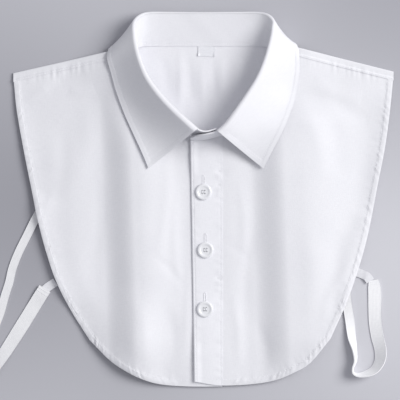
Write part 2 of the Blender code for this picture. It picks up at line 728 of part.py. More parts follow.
def size_label():
    """The bare label, sewn in at the back neck seam and lying on the back panel."""
    width, height = LABEL_SIZE
    upper, lower = [], []
    for t in even(2, 0.5, -0.5):
        upper.append([])
        lower.append([])
        for s in even(3, -0.5, 0.5):
            turned_x = s * width * math.cos(LABEL_TURN) - t * height * math.sin(LABEL_TURN)
            turned_y = s * width * math.sin(LABEL_TURN) + t * height * math.cos(LABEL_TURN)
            x, y = LABEL_CENTRE[0] + turned_x, LABEL_CENTRE[1] + turned_y
            base = back_height(x, y) + CLOTH / 2 + GAP
            upper[-1].append(Vector((x, y, base + LABEL_THICK)))
            lower[-1].append(Vector((x, y, base)))
    return wall("size_label", upper, lower)


def paint(piece, name, colour, roughness):
    """Give a piece its own material."""
    material = bpy.data.materials.new(name)
    material.use_nodes = True
    shader = material.node_tree.nodes["Principled BSDF"]
    shader.inputs["Base Color"].default_value = (*colour, 1.0)
    shader.inputs["Roughness"].default_value = roughness
    shader.inputs["Metallic"].default_value = 0.0
    piece.data.materials.append(material)


for old in list(bpy.data.objects):
    bpy.data.objects.remove(old)

parts = bpy.data.collections.new("dickey")
cutters = bpy.data.collections.new("cutters")
bpy.context.scene.collection.children.link(parts)
bpy.context.scene.collection.children.link(cutters)

COTTON = (0.86, 0.86, 0.88)
ELASTIC = (0.84, 0.84, 0.86)
PEARL = (0.82, 0.82, 0.84)

cloth_pieces = [
    back_panel(),
    front_panel("front_under", UNDER_SIDE, UNDER_HEM, list(reversed(UNDER_NECKLINE)) + [(UNDER_EDGE_X, 59.0)],
                lambda y: UNDER_EDGE_X, ground, 22.0),
    front_panel("front_over", OVER_SIDE, OVER_HEM, OVER_NECKLINE,
                lambda y: placket_left(y) + PLACKET_SETBACK, over_height, 24.0),
    placket(),
    shoulder_turn("shoulder_turn_left", -1),
    shoulder_turn("shoulder_turn_right", 1),
]
collar_seams, collar_folds, leaf_edges = collar_lines()
cloth_pieces.append(collar_stand(collar_seams, collar_folds))
cloth_pieces.append(collar_leaf(collar_seams, collar_folds, leaf_edges))
for piece in cloth_pieces:
    paint(piece, piece.name + " cotton", COTTON, 0.85)

paint(size_label(), "size_label satin", COTTON, 0.6)

elastic_pieces = [
    band("band_right", BAND_RIGHT),
    band("band_left", BAND_LEFT),
    tab("band_tab_right", TAB_RIGHT),
    tab("band_tab_left", TAB_LEFT),
]
for piece in elastic_pieces:
    paint(piece, piece.name + " elastic", ELASTIC, 0.8)

for number, (button_x, button_y) in enumerate(BUTTON_PLACES, start=1):
    paint(button(f"button_{number}", button_x, button_y), f"button_{number} resin", PEARL, 0.3)
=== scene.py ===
# %% [markdown]
# # A dickey, laid flat
# A dickey is the front of a dress shirt and nothing more: two fronts, a short back, a stand collar with a
# turned-down leaf, and a loop of elastic at each side that keeps it in place. This one lies on a table with
# its front up. The CAD frame is loaded first, because every piece of cloth is placed by it.

# %% Load the frame
import math
from collections import namedtuple

import bmesh
import bpy
import numpy as np
from mathutils import Matrix, Vector


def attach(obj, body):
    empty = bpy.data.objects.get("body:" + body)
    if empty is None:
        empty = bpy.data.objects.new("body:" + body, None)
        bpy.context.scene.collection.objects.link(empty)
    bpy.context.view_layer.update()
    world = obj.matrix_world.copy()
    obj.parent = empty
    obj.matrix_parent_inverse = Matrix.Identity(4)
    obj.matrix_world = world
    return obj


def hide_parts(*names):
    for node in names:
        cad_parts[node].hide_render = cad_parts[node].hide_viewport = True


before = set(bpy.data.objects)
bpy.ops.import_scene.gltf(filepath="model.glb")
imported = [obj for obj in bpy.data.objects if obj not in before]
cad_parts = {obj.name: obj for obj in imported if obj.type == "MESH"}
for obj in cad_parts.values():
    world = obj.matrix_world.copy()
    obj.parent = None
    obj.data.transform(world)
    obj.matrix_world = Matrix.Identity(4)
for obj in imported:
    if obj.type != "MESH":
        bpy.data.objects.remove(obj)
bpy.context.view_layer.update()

MM = 0.001

# %% [markdown]
# ## Camera
# The garment is seen from straight above. A long lens from more than two metres keeps the collar, which
# stands 38 mm high, from leaning outwards. An orthographic camera would do it too, but a real lens gives
# the collar's inside the same slight view that a photograph has.

# %% Camera straight above
PICTURE_MM = 380.0
PICTURE_CENTRE = (-3.3, -0.5)
CAMERA_HEIGHT = 2200.0

camera = bpy.data.objects.new("camera", bpy.data.cameras.new("camera"))
camera.location = (PICTURE_CENTRE[0] * MM, PICTURE_CENTRE[1] * MM, CAMERA_HEIGHT * MM)
camera.data.lens = camera.data.sensor_width * CAMERA_HEIGHT / PICTURE_MM
camera.data.clip_end = 20.0
bpy.context.scene.collection.objects.link(camera)
bpy.context.scene.camera = camera
print("lens", round(camera.data.lens), "mm")

# %% [markdown]
# ## Measurements
# The sizes and tables are those of the sewn pieces, in millimetres: +X to the viewer's right, +Y towards
# the back of the neck and +Z up. Each front is given by its outline, the collar by a row for each section
# round the neck, and each elastic band by its centre line.

# %% Sizes of cloth, seams and collar
CLOTH = 1.1
GAP = 0.3
LAYER = CLOTH + GAP
LAP_LAYER = 1.15
PLACKET_LAYER = 0.62
SHELL = 0.5
HEM_SEWN_AT = 5.5
BACK_INSET = 3.5
SHOULDER_TURN = 8.3
SHOULDER_RADIUS = 1.6
SHOULDER_NECK_X = 71.0
STAND_THICK = 1.3
LEAF_THICK = 1.1
STAND_SEAT = 1.7
ROLL_CLEARANCE = 1.1
LEAF_HOVER = 1.5
LEAF_UNDER_LIFT = 2.6
LEAF_SEAT = 0.8
PLACKET_INNER_X = 18.0
UNDER_EDGE_X = 17.6
PLACKET_SETBACK = 0.8
LAP_FULL_X = 22.0
LAP_NONE_X = 48.0

# Outline of each front, from the tip of its shoulder down its side and along its hem to the centre
Outline = namedtuple("Outline", "x y")
UNDER_SIDE = [
    Outline(-181.0, 119.7),
    Outline(-177.2, 85.0),
    Outline(-170.5, 47.0),
    Outline(-162.9, 9.0),
    Outline(-157.0, -19.5),
    Outline(-149.6, -48.0),
    Outline(-140.0, -76.5),
    Outline(-125.9, -105.0),
    Outline(-107.8, -133.5),
]
UNDER_HEM = [
    Outline(-107.8, -133.5),
    Outline(-88.5, -152.5),
    Outline(-71.7, -163.6),
    Outline(-54.6, -171.5),
    Outline(-38.0, -175.6),
    Outline(-12.8, -177.4),
    Outline(UNDER_EDGE_X, -177.4),
]
OVER_SIDE = [
    Outline(181.0, 121.1),
    Outline(177.4, 88.8),
    Outline(172.4, 50.8),
    Outline(165.0, 12.8),
    Outline(159.6, -15.7),
    Outline(153.2, -44.2),
    Outline(144.6, -72.7),
    Outline(134.0, -101.2),
    Outline(120.2, -131.6),
]
OVER_HEM = [
    Outline(120.2, -131.6),
    Outline(101.2, -154.4),
    Outline(86.0, -163.8),
    Outline(68.0, -171.3),
    Outline(45.0, -175.2),
    Outline(15.7, -176.3),
    Outline(-7.8, -172.6),
]

# Shoulder folds as straight lines: height at the neck side and at the tip
SHOULDERS = {
    -1: {"neck": (-92.0, 139.9), "tip": (-181.0, 119.7)},
    1: {"neck": (95.5, 142.5), "tip": (181.0, 121.1)},
}

# Left edge of the placket
PlacketEdge = namedtuple("PlacketEdge", "y x")
PLACKET_EDGE = [
    PlacketEdge(56.6, -12.4),
    PlacketEdge(8.0, -11.6),
    PlacketEdge(-96.0, -9.8),
    PlacketEdge(-172.4, -8.6),
]

# The collar, a row for each section from the lapped end under the closure, round the back, to the
# end on top. seam is the stand's lower edge, fold its upper edge, edge the leaf's free edge. A seam
# or an edge with no height lies on the front below it. belly is how far the leaf rounds outwards, a
# settle over 1 lets it sink sooner than a straight fall, and roll is the radius of its fold.
Collar = namedtuple(
    "Collar", "place seam_x seam_y seam_z fold_x fold_y fold_z edge_x edge_y edge_z belly settle roll")
BARE = None
COLLAR = [
    Collar("under end", 13.0, 62.4, None, 12.2, 66.4, 31.0, BARE, BARE, BARE, 0, 1, 3.0),
    Collar("under centre", 3.0, 60.2, None, 3.0, 63.9, 31.8, BARE, BARE, BARE, 0, 1, 3.0),
    Collar("under point", -6.0, 60.0, None, -5.0, 65.6, 32.4, -51.9, 29.4, None, 0.2, 2.3, 3.2),
    Collar("under front", -20.0, 61.8, None, -14.2, 73.0, 32.4, -58.2, 44.4, None, 0.1, 2.3, 3.2),
    Collar("under breast", -40.0, 67.5, None, -27.9, 84.5, 31.5, -66.0, 61.4, None, 0.1, 2.2, 3.0),
    Collar("under curve", -56.0, 80.0, None, -40.2, 97.1, 30.0, -74.4, 80.0, None, 0.1, 2.0, 2.7),
    Collar("under side", -67.0, 93.0, None, -51.9, 112.6, 28.5, -82.4, 101.4, None, 0.2, 1.7, 2.4),
    Collar("under neck", -72.0, 108.0, None, -59.3, 129.4, 27.0, -87.6, 120.4, None, 0.4, 1.4, 2.0),
    Collar("under shoulder", -73.0, 122.0, None, -63.4, 145.4, 25.0, -90.8, 133.0, 9.2, 0.6, 1.1, 1.7),
    Collar("under turn", -71.0, 131.0, None, -64.6, 154.4, 22.5, -89.8, 141.2, 6.2, 0.6, 1, 1.5),
    Collar("under wrap", -69.5, 136.0, 7.3, -65.0, 160.4, 20.5, -89.0, 142.6, 2.4, 0.4, 1.3, 1.4),
    Collar("under corner", -67.0, 140.0, 6.2, -63.8, 166.5, 18.0, -86.2, 142.0, 1.0, 0, 2.4, 1.3),
    Collar("under nape corner", -61.0, 144.2, 5.0, -58.8, 171.8, 14.0, -77.0, 135.4, 0.9, 0, 3.2, 1.2),
    Collar("under nape", -52.0, 145.4, 3.9, -50.5, 174.6, 10.0, -60.0, 131.8, 0.85, 0, 3, 1.1),
    Collar("under back", -32.0, 145.4, 3.5, -32.0, 174.9, 7.6, -35.0, 131.0, 0.85, 0, 2, 1.1),
    Collar("back", 0.0, 145.4, 3.5, 0.0, 174.7, 7.2, 0.0, 131.0, 0.85, 0, 2, 1.1),
    Collar("over back", 32.0, 145.4, 3.5, 32.0, 174.9, 7.6, 35.0, 131.0, 0.85, 0, 2, 1.1),
    Collar("over nape", 52.0, 145.4, 3.9, 51.0, 174.6, 10.0, 60.0, 131.8, 0.85, 0, 3, 1.1),
    Collar("over nape corner", 61.5, 144.2, 5.0, 60.0, 172.0, 14.0, 76.0, 136.4, 0.9, 0, 3.2, 1.2),
    Collar("over corner", 67.0, 140.0, 6.2, 64.6, 166.4, 18.0, 84.4, 144.8, 1.0, 0, 2.4, 1.3),
    Collar("over wrap", 69.0, 136.0, 7.3, 64.4, 160.4, 20.5, 87.2, 146.4, 2.4, 0.4, 1.3, 1.4),
    Collar("over turn", 70.3, 131.0, None, 63.8, 154.4, 22.5, 88.2, 145.6, 6.2, 0.6, 1, 1.5),
    Collar("over shoulder", 71.5, 121.0, None, 61.8, 145.2, 25.0, 90.2, 138.0, 9.4, 0.6, 1.1, 1.6),
    Collar("over neck", 70.0, 107.0, None, 57.2, 128.9, 27.0, 90.9, 121.4, None, 0.5, 1.3, 1.8),
    Collar("over side", 64.0, 92.0, None, 50.0, 112.4, 28.5, 88.0, 101.0, None, 0.3, 1.5, 2.0),
    Collar("over curve", 53.0, 79.0, None, 39.9, 96.5, 30.0, 82.2, 82.0, None, 0.2, 1.7, 2.2),
    Collar("over breast", 38.0, 69.5, None, 29.3, 82.0, 31.5, 74.4, 63.8, None, 0.1, 2.1, 2.4),
    Collar("over front", 26.0, 64.0, None, 20.4, 70.8, 32.4, 65.0, 45.4, None, 0.1, 2.3, 2.4),
    Collar("over point", 16.0, 60.4, None, 12.8, 64.2, 32.6, 56.8, 29.4, None, 0.2, 2.3, 2.4),
    Collar("over centre", 3.0, 57.2, None, 2.4, 61.2, 31.6, BARE, BARE, BARE, 0, 1, 2.4),
    Collar("over tab", -6.0, 56.6, None, -5.8, 60.2, 27.0, BARE, BARE, BARE, 0, 1, 2.4),
    Collar("over end", -12.4, 56.4, None, -12.2, 58.4, 17.0, BARE, BARE, BARE, 0, 1, 2.4),
]

# The elastic bands: centre line, width and roll, the angle by which the outer edge stands up
Band = namedtuple("Band", "x y z width roll")
BAND_RIGHT = [
    Band(161.4, -76.6, 0.7, 9.0, 0),
    Band(162.2, -82.2, 0.7, 11.4, 0),
    Band(162.7, -90.7, 0.7, 12.2, 0),
    Band(162.7, -103.0, 0.9, 12.0, 4),
    Band(163.0, -116.4, 1.4, 11.6, 10),
    Band(165.0, -129.7, 2.4, 11.8, 18),
    Band(167.8, -142.0, 3.8, 12.0, 30),
    Band(167.4, -152.4, 4.8, 12.0, 42),
    Band(162.4, -161.0, 5.4, 11.6, 55),
    Band(154.4, -165.2, 5.6, 11.0, 66),
    Band(146.8, -166.4, 5.4, 10.4, 76),
    Band(142.2, -164.6, 5.3, 10.0, 82),
    Band(141.8, -160.0, 5.2, 9.8, 80),
    Band(144.2, -152.4, 4.9, 9.4, 72),
    Band(143.2, -142.0, 4.2, 9.0, 58),
    Band(140.7, -130.6, 2.6, 8.8, 28),
    Band(139.1, -116.4, 1.5, 8.8, 8),
    Band(137.1, -103.0, 1.5, 8.6, 0),
    Band(135.6, -90.0, 1.95, 8.6, 0),
    Band(136.4, -74.0, 1.95, 8.6, 0),
    Band(139.6, -55.6, 1.95, 8.6, 0),
    Band(145.4, -37.0, 1.95, 8.6, 0),
    Band(152.0, -21.5, 1.95, 8.6, 0),
]
BAND_LEFT = [
    Band(-150.4, -84.6, 2.0, 12.2, 0),
    Band(-154.4, -90.8, 2.0, 12.4, 0),
    Band(-160.0, -99.8, 0.9, 12.5, 0),
    Band(-166.0, -109.6, 0.7, 12.5, 0),
    Band(-174.3, -123.0, 0.8, 12.5, 3),
    Band(-188.0, -144.4, 1.2, 11.6, 8),
    Band(-200.0, -161.4, 2.6, 10.6, 24),
    Band(-207.4, -168.2, 4.2, 10.0, 48),
    Band(-213.4, -165.4, 5.0, 9.4, 72),
    Band(-213.4, -155.4, 4.4, 9.0, 58),
    Band(-207.6, -141.0, 2.4, 8.6, 24),
    Band(-200.2, -125.4, 1.2, 8.2, 8),
    Band(-193.2, -108.4, 0.8, 8.0, 2),
    Band(-188.6, -92.0, 0.7, 7.8, 0),
    Band(-184.3, -78.4, 0.7, 7.8, 0),
    Band(-181.2, -65.1, 0.7, 7.8, 0),
    Band(-175.3, -49.9, 0.7, 7.8, 0),
    Band(-167.7, -34.7, 0.9, 7.8, 0),
    Band(-159.6, -18.5, 1.8, 7.8, 0),
    Band(-152.6, -6.2, 1.95, 7.8, 0),
]
BAND_LIFT = 1.7
BAND_LIFT_REACH = 10.0
# How many of a band's last rows lie hidden between the panels
BAND_RIGHT_HIDDEN = 6
BAND_LEFT_HIDDEN = 2

# The tabs, from under the fronts' side hems out to the bands
TAB_RIGHT = [(143.8, -68.3, 0.6), (147.2, -69.5, 0.6), (151.0, -71.0, 1.0), (155.2, -73.0, 2.0),
             (158.4, -77.4, 2.0)]
TAB_LEFT = [(-140.4, -78.4, 0.6), (-143.6, -80.4, 0.6), (-147.8, -83.2, 0.6), (-152.2, -87.0, 0.6)]

print("collar sections", len(COLLAR), "band points", len(BAND_RIGHT) + len(BAND_LEFT))

# %% [markdown]
# ## Curves and soft steps
# A maker draws a pattern piece as a few points joined by a smooth line. Spline objects could do that, but
# the points are needed as numbers, to lay cloth between two lines and to find how far a place is from a
# hem, so the smooth line is worked out here with numpy.

# %% Helpers for lines in plan
def smooth(value, low, high):
    """A soft step from 0 at low to 1 at high."""
    part = np.clip((value - low) / (high - low), 0.0, 1.0)
    return part * part * (3.0 - 2.0 * part)


def curve_through(points, steps):
    """A smooth curve through the points. steps is a number for each gap, or one number for all."""
    points = np.asarray(points, float)
    gaps = len(points) - 1
    counts = [steps] * gaps if isinstance(steps, int) else steps
    ends = np.vstack([2 * points[0] - points[1], points, 2 * points[-1] - points[-2]])
    line = []
    for i, count in enumerate(counts):
        before, start, end, after = ends[i:i + 4]
        t = (np.arange(count) / count)[:, None]
        line.append(0.5 * (
            2 * start + (end - before) * t
            + (2 * before - 5 * start + 4 * end - after) * t ** 2
            + (3 * start - before - 3 * end + after) * t ** 3))
    return np.vstack(line + [points[-1:]])


def lengths(line):
    """The length of a line up to each of its points."""
    return np.concatenate([[0.0], np.cumsum(np.linalg.norm(np.diff(line, axis=0), axis=1))])


def along(line, fractions):
    """Points at fractions of a line's length."""
    total = lengths(line)
    reach = np.asarray(fractions) * total[-1]
    return np.stack([np.interp(reach, total, line[:, axis]) for axis in range(line.shape[1])], axis=-1)


def nearest(x, y, line):
    """Distance in plan from each place to a line, and how far along it the nearest point is."""
    x, y = np.asarray(x, float), np.asarray(y, float)
    total = lengths(line)
    dense = along(line, np.linspace(0.0, 1.0, max(2, int(total[-1] / 1.2))))
    best = np.full(x.shape, 1e9)
    place = np.zeros(x.shape)
    for i, (px, py) in enumerate(dense[:, :2]):
        away = (x - px) ** 2 + (y - py) ** 2
        closer = away < best
        best = np.where(closer, away, best)
        place = np.where(closer, total[-1] * i / (len(dense) - 1), place)
    return np.sqrt(best), place


def ripple(distance, pitch, seed):
    """An uneven wave between about -1 and 1, as sewing leaves along a seam."""
    chance = np.random.default_rng(seed)
    wave = np.zeros(np.shape(distance))
    for stretch in (0.62, 0.83, 1.0, 1.37, 1.9):
        wave = wave + np.sin(distance * math.tau / (pitch * stretch) + chance.uniform(0.0, math.tau))
    swell = 0.65 + 0.35 * np.sin(distance * math.tau / (pitch * 9.0) + chance.uniform(0.0, math.tau))
    return wave * swell / 2.6


print("soft step at the middle:", float(smooth(0.5, 0, 1)))

# %% [markdown]
# ## How high the cloth lies
# The layers are counted up from the table: the back, then the front that carries the buttons, then the
# front that laps over, then the placket. Soft folds lift both fronts. Each is one height function of the
# place, so that no layer can pass through another. Cloth simulation could settle the layers, but these
# folds have known places, and a function puts them there exactly.

# %% Heights of the layers
# Soft folds that run down the fronts: each rises between two x places and falls between two others.
# The places are those at the fold level, and lean moves them for each millimetre above it.
FOLD_LEVEL = -30.0
Fold = namedtuple("Fold", "name rise_from rise_to fall_from fall_to height top low top_fade low_fade lean")
FOLDS = [
    Fold("wearer's right breast", -95, -65, -60, -12, 8.4, 112, -190, 28, 60, -0.035),
    Fold("wearer's left breast", 47, 79, 94, 160, 8.0, 100, -190, 30, 60, -0.035),
    Fold("wearer's right side", -176, -140, -128, -98, 1.8, 70, -110, 40, 40, 0.0),
    Fold("slope above the right hem", -122, -78, -68, -34, 5.6, -74, -190, 60, 50, 0.0),
    Fold("lower closure", -42, -15, 0, 44, 2.4, -66, -200, 56, 56, 0.0),
]


def shoulder_y(x):
    """The shoulder fold's y at x."""
    left, right = SHOULDERS[-1], SHOULDERS[1]
    on_left = np.interp(x, [left["tip"][0], left["neck"][0]], [left["tip"][1], left["neck"][1]])
    on_right = np.interp(x, [right["neck"][0], right["tip"][0]], [right["neck"][1], right["tip"][1]])
    slope_left = (left["neck"][1] - left["tip"][1]) / (left["neck"][0] - left["tip"][0])
    slope_right = (right["tip"][1] - right["neck"][1]) / (right["tip"][0] - right["neck"][0])
    past_left = np.maximum(x - left["neck"][0], 0.0) * slope_left
    past_right = np.minimum(x - right["neck"][0], 0.0) * slope_right
    return np.where(np.asarray(x) < 0.0, on_left + past_left, on_right + past_right)


TURN_UNDER = 9
TURN_OVER = 21
LAST = len(COLLAR) - 1
UNDER_NECKLINE = [(row.seam_x, row.seam_y) for row in COLLAR[2:TURN_UNDER + 1]]
OVER_NECKLINE = [(row.seam_x, row.seam_y) for row in COLLAR[TURN_OVER:]]
FRONT_SEAM = np.vstack([curve_through(UNDER_NECKLINE, 4), curve_through(OVER_NECKLINE, 4)])
HIDDEN_LINES = [
    curve_through([(row.x, row.y) for row in BAND_RIGHT[-BAND_RIGHT_HIDDEN:]], 4),
    curve_through([(row.x, row.y) for row in BAND_LEFT[-BAND_LEFT_HIDDEN:]], 4),
]


def back_height(x, y):
    """Middle of the back: on the table, and lifted where the collar's leaf lies under it."""
    lift = smooth(y, 90, 126) * (1.0 - smooth(np.abs(x), 95, 135))
    return SHELL / 2 + 0.02 + (LEAF_UNDER_LIFT + CLOTH / 2 - SHELL / 2) * lift


def fold_height(x, y):
    """Sum of the soft folds in the fronts."""
    height = 0.0
    for fold in FOLDS:
        place = x - fold.lean * (y - FOLD_LEVEL)
        across = smooth(place, fold.rise_from, fold.rise_to)
        across = across * (1 - smooth(place, fold.fall_from, fold.fall_to))
        down = smooth(y, fold.low, fold.low + fold.low_fade)
        down = down * (1 - smooth(y, fold.top - fold.top_fade, fold.top))
        height = height + fold.height * across * down
    return height


def ground(x, y):
    """Middle of the lower front, which the other layers are counted from."""
    x, y = np.asarray(x, float), np.asarray(y, float)
    to_seam = nearest(x, y, FRONT_SEAM)[0]
    near_neck = np.exp(-(to_seam / 26.0) ** 2)
    away = 1.0 - np.exp(-(to_seam / 20.0) ** 2)
    rise = 1.6 + 2.2 * np.exp(-(x / 40.0) ** 2)
    to_band = np.minimum(*[nearest(x, y, line)[0] for line in HIDDEN_LINES])
    near_band = np.exp(-(to_band / BAND_LIFT_REACH) ** 2)
    lift = smooth(y, 90, 126) * (1.0 - smooth(np.abs(x), 95, 135))
    flat = CLOTH / 2 + LEAF_UNDER_LIFT * lift + LAYER
    return flat + fold_height(x, y) * away + rise * near_neck + BAND_LIFT * near_band


def over_height(x, y):
    """Middle of the front that laps over."""
    return ground(x, y) + LAP_LAYER * (1.0 - smooth(x, LAP_FULL_X, LAP_NONE_X))


def placket_height(x, y):
    """Middle of the placket."""
    return over_height(x, y) + PLACKET_LAYER


def placket_left(y):
    """The placket's left edge at y."""
    return np.interp(-np.asarray(y), [-row.y for row in PLACKET_EDGE], [row.x for row in PLACKET_EDGE])


print("highest fold", round(float(fold_height(np.array([-54.0]), np.array([-30.0]))[0]), 1), "mm")

# %% [markdown]
# ## Creases, one by one
# Soft cloth that has been folded and shaken out keeps shallow troughs and ridges. They are drawn a row each,
# with different lengths, depths and spacing. A noise texture could wrinkle the whole cloth, but it would
# wrinkle it evenly, which pressed shirting doesn't do.

# %% Creases in the fronts and the back
Crease = namedtuple("Crease", "x1 y1 x2 y2 bow width height")
FRONT_CREASES = [
    Crease(-34, 48, -44, -62, 4, 6.0, 0.75),
    Crease(-26, 12, -22, -96, -3, 4.5, 0.55),
    Crease(-48, -52, -20, -84, 3, 4.0, -0.55),
    Crease(-60, -96, -56, -160, 2, 6.5, 0.85),
    Crease(-34, -100, -30, -158, 3, 6.0, -0.8),
    Crease(-14, -60, -17, -150, 0, 3.5, 0.4),
    Crease(-112, 96, -118, 10, 5, 9.0, 0.6),
    Crease(-134, 74, -140, -4, 4, 8.0, -0.6),
    Crease(-150, 104, -112, 122, 3, 5.5, -0.75),
    Crease(-168, 92, -136, 112, 2, 5.0, 0.6),
    Crease(-128, 104, -104, 106, -4, 5.0, 0.55),
    Crease(-160, 6, -148, -2, 0, 7.0, -0.9),
    Crease(-120, -40, -98, -112, -6, 9.0, 0.55),
    Crease(-100, 20, -104, -60, 3, 7.0, -0.5),
    Crease(34, 20, 38, -70, 3, 5.0, 0.5),
    Crease(46, -20, 40, -120, -3, 6.0, -0.6),
    Crease(28, -88, 34, -160, 2, 5.0, 0.7),
    Crease(52, -116, 60, -164, 3, 6.0, -0.7),
    Crease(92, 92, 112, 18, 6, 8.0, 0.65),
    Crease(118, 84, 128, 20, 4, 9.0, -0.6),
    Crease(104, 112, 150, 96, -5, 7.0, 0.7),
    Crease(120, 100, 158, 76, -4, 7.0, -0.7),
    Crease(96, -20, 102, -110, 5, 9.0, 0.5),
    Crease(126, -30, 118, -104, 4, 8.0, -0.6),
    Crease(140, -60, 112, -118, -5, 5.5, 0.7),
    Crease(20, 26, 52, 34, 2, 4.0, 0.35),
    Crease(22, -44, 44, -58, 2, 4.0, -0.35),
]
# The deepest that a crease may sink the back and the label on it
DEEPEST_CREASE = -0.9
BACK_CREASES = [
    Crease(-22, 142, -24, 62, 1, 3.2, 0.8),
    Crease(-14, 138, -12, 70, 1, 3.6, -0.7),
    Crease(-2, 132, 2, 64, -1, 3.4, 0.75),
    Crease(8, 134, 11, 74, 1, 3.2, -0.6),
    Crease(17, 138, 20, 84, -1, 4.0, 0.7),
    Crease(-40, 136, -34, 96, 2, 5.0, -0.6),
    Crease(34, 134, 30, 100, 2, 5.0, 0.5),
    Crease(-120, 60, -90, -80, 8, 9.0, 0.5),
    Crease(-60, 40, -50, -120, -5, 8.0, 0.6),
    Crease(60, 44, 72, -100, 6, 9.0, 0.5),
    Crease(110, 40, 96, -60, -5, 8.0, 0.45),
    Crease(4, 20, -6, -140, 5, 7.0, 0.5),
]


def crease_height(x, y, creases):
    """Sum of the listed creases. Each fades out at both of its ends."""
    x, y = np.asarray(x, float), np.asarray(y, float)
    height = np.zeros(x.shape)
    for crease in creases:
        start, end = np.array([crease.x1, crease.y1]), np.array([crease.x2, crease.y2])
        reach = end - start
        side = np.array([-reach[1], reach[0]]) / np.linalg.norm(reach)
        line = curve_through([start, (start + end) / 2 + side * crease.bow, end], 12)
        away, place = nearest(x, y, line)
        fade = np.sin(np.clip(place / lengths(line)[-1], 0.0, 1.0) * math.pi) ** 0.7
        height = height + crease.height * fade * np.exp(-(away / crease.width) ** 2)
    return height


print("creases", len(FRONT_CREASES) + len(BACK_CREASES))

# %% [markdown]
# ## Thin cloth
# Each piece of cloth is a closed thin shell: an outer and an inner grid of points, joined round the rim.
# Solidify on a flat sheet would do as well, but here the two faces are made apart, because a hem is thicker
# than the cloth beside it. The UV map is in metres of flat cloth, so that the weave keeps one size.

# %% Make a closed shell from two grids
def grid_normals(grid):
    """A unit normal for every point of a grid."""
    across = np.gradient(grid, axis=1)
    down = np.gradient(grid, axis=0)
    normal = np.cross(down, across)
    return normal / np.maximum(np.linalg.norm(normal, axis=2, keepdims=True), 1e-9)


def flat_lengths(grid):
    """UV in metres: how far each point is down and across the cloth."""
    across = np.linalg.norm(np.diff(grid, axis=1), axis=2).cumsum(axis=1)
    down = np.linalg.norm(np.diff(grid, axis=0), axis=2).cumsum(axis=0)
    u = np.concatenate([np.zeros((grid.shape[0], 1)), across], axis=1)
    v = np.concatenate([np.zeros((1, grid.shape[1])), down], axis=0)
    return np.stack([u, v], axis=2) * MM


def plan_uv(grid):
    """UV in metres for cloth that lies nearly flat: its own place in plan."""
    return grid[:, :, :2] * MM


TABLE_CLEARANCE = 0.02


def shell(name, outer, inner, uv, finish):
    """A closed shell between two grids of points in millimetres. The table keeps it from going lower."""
    rows, columns = outer.shape[:2]
    count = rows * columns
    points = np.concatenate([outer.reshape(-1, 3), inner.reshape(-1, 3)]) * MM
    points[:, 2] = np.maximum(points[:, 2], TABLE_CLEARANCE * MM)
    index = np.arange(count).reshape(rows, columns)
    a, b = index[:-1, :-1].ravel(), index[:-1, 1:].ravel()
    c, d = index[1:, 1:].ravel(), index[1:, :-1].ravel()
    top = np.stack([a, b, c, d], axis=1)
    bottom = np.stack([d, c, b, a], axis=1) + count
    rim = np.concatenate([index[0, :], index[1:, -1], index[-1, -2::-1], index[-2:0:-1, 0]])
    after = np.roll(rim, -1)
    side = np.stack([after, rim, rim + count, after + count], axis=1)
    faces = np.concatenate([top, bottom, side])
    mesh = bpy.data.meshes.new(name)
    mesh.from_pydata(points.tolist(), [], faces.tolist())
    loops = np.empty(len(mesh.loops), int)
    mesh.loops.foreach_get("vertex_index", loops)
    layer = mesh.uv_layers.new(name="cloth")
    layer.data.foreach_set("uv", uv.reshape(-1, 2)[loops % count].ravel())
    work = bmesh.new()
    work.from_mesh(mesh)
    bmesh.ops.recalc_face_normals(work, faces=work.faces)
    work.to_mesh(mesh)
    work.free()
    mesh.shade_smooth()
    mesh.set_sharp_from_angle(angle=math.radians(60))
    mesh.materials.append(finish)
    piece = bpy.data.objects.new(name, mesh)
    bpy.context.scene.collection.objects.link(piece)
    print(name, "triangles", 2 * len(faces))
    return piece


def shell_on_middle(name, grid, thick, finish):
    """A closed shell about a grid, of one thickness or of one for each point."""
    normal = grid_normals(grid)
    thick = thick[:, :, None] if isinstance(thick, np.ndarray) else thick
    outer, inner = grid + normal * thick / 2, grid - normal * thick / 2
    return shell(name, outer, inner, flat_lengths(grid), finish)


print("cloth shells are", SHELL, "mm thick")

# %% [markdown]
# ## Shader sums
# A finish is worked out with plain Python sums: a wire stands for one socket of the shader tree, and the
# operators on it add Math nodes. Node groups would be the other way, but sums are easier to read and change.

# %% A wire for shader sums
class Wire:
    """One output socket of a shader tree. Python's operators on it add Math nodes."""

    def __init__(self, tree, socket):
        self.tree = tree
        self.socket = socket

    def node(self, kind, settings=None, sockets=None, output=0):
        """Any node: its type, its settings, the values or wires of its sockets, and the output wanted."""
        made = self.tree.nodes.new(kind)
        for name, value in (settings or {}).items():
            setattr(made, name, value)
        for name, value in (sockets or {}).items():
            if isinstance(value, Wire):
                self.tree.links.new(value.socket, made.inputs[name])
            else:
                made.inputs[name].default_value = value
        return Wire(self.tree, made.outputs[output])

    def maths(self, operation, first, second=0.0):
        """A Math node on values or wires."""
        return self.node("ShaderNodeMath", {"operation": operation}, {0: first, 1: second})

    def __add__(self, other):
        return self.maths("ADD", self, other)

    def __radd__(self, other):
        return self.maths("ADD", other, self)

    def __sub__(self, other):
        return self.maths("SUBTRACT", self, other)

    def __rsub__(self, other):
        return self.maths("SUBTRACT", other, self)

    def __mul__(self, other):
        return self.maths("MULTIPLY", self, other)

    def __rmul__(self, other):
        return self.maths("MULTIPLY", other, self)

    def __pow__(self, other):
        return self.maths("POWER", self, other)

    def wave(self):
        """The sine of this wire."""
        return self.maths("SINE", self)


def new_finish(name, constants):
    """A material with its shader's constants set. Returns it, its shader and a wire of its UV map."""
    material = bpy.data.materials.new(name)
    material.use_nodes = True
    tree = material.node_tree
    shader = tree.nodes["Principled BSDF"]
    for socket, value in constants.items():
        shader.inputs[socket].default_value = value
    start = tree.nodes.new("ShaderNodeUVMap")
    start.uv_map = "cloth"
    return material, shader, Wire(tree, start.outputs[0])


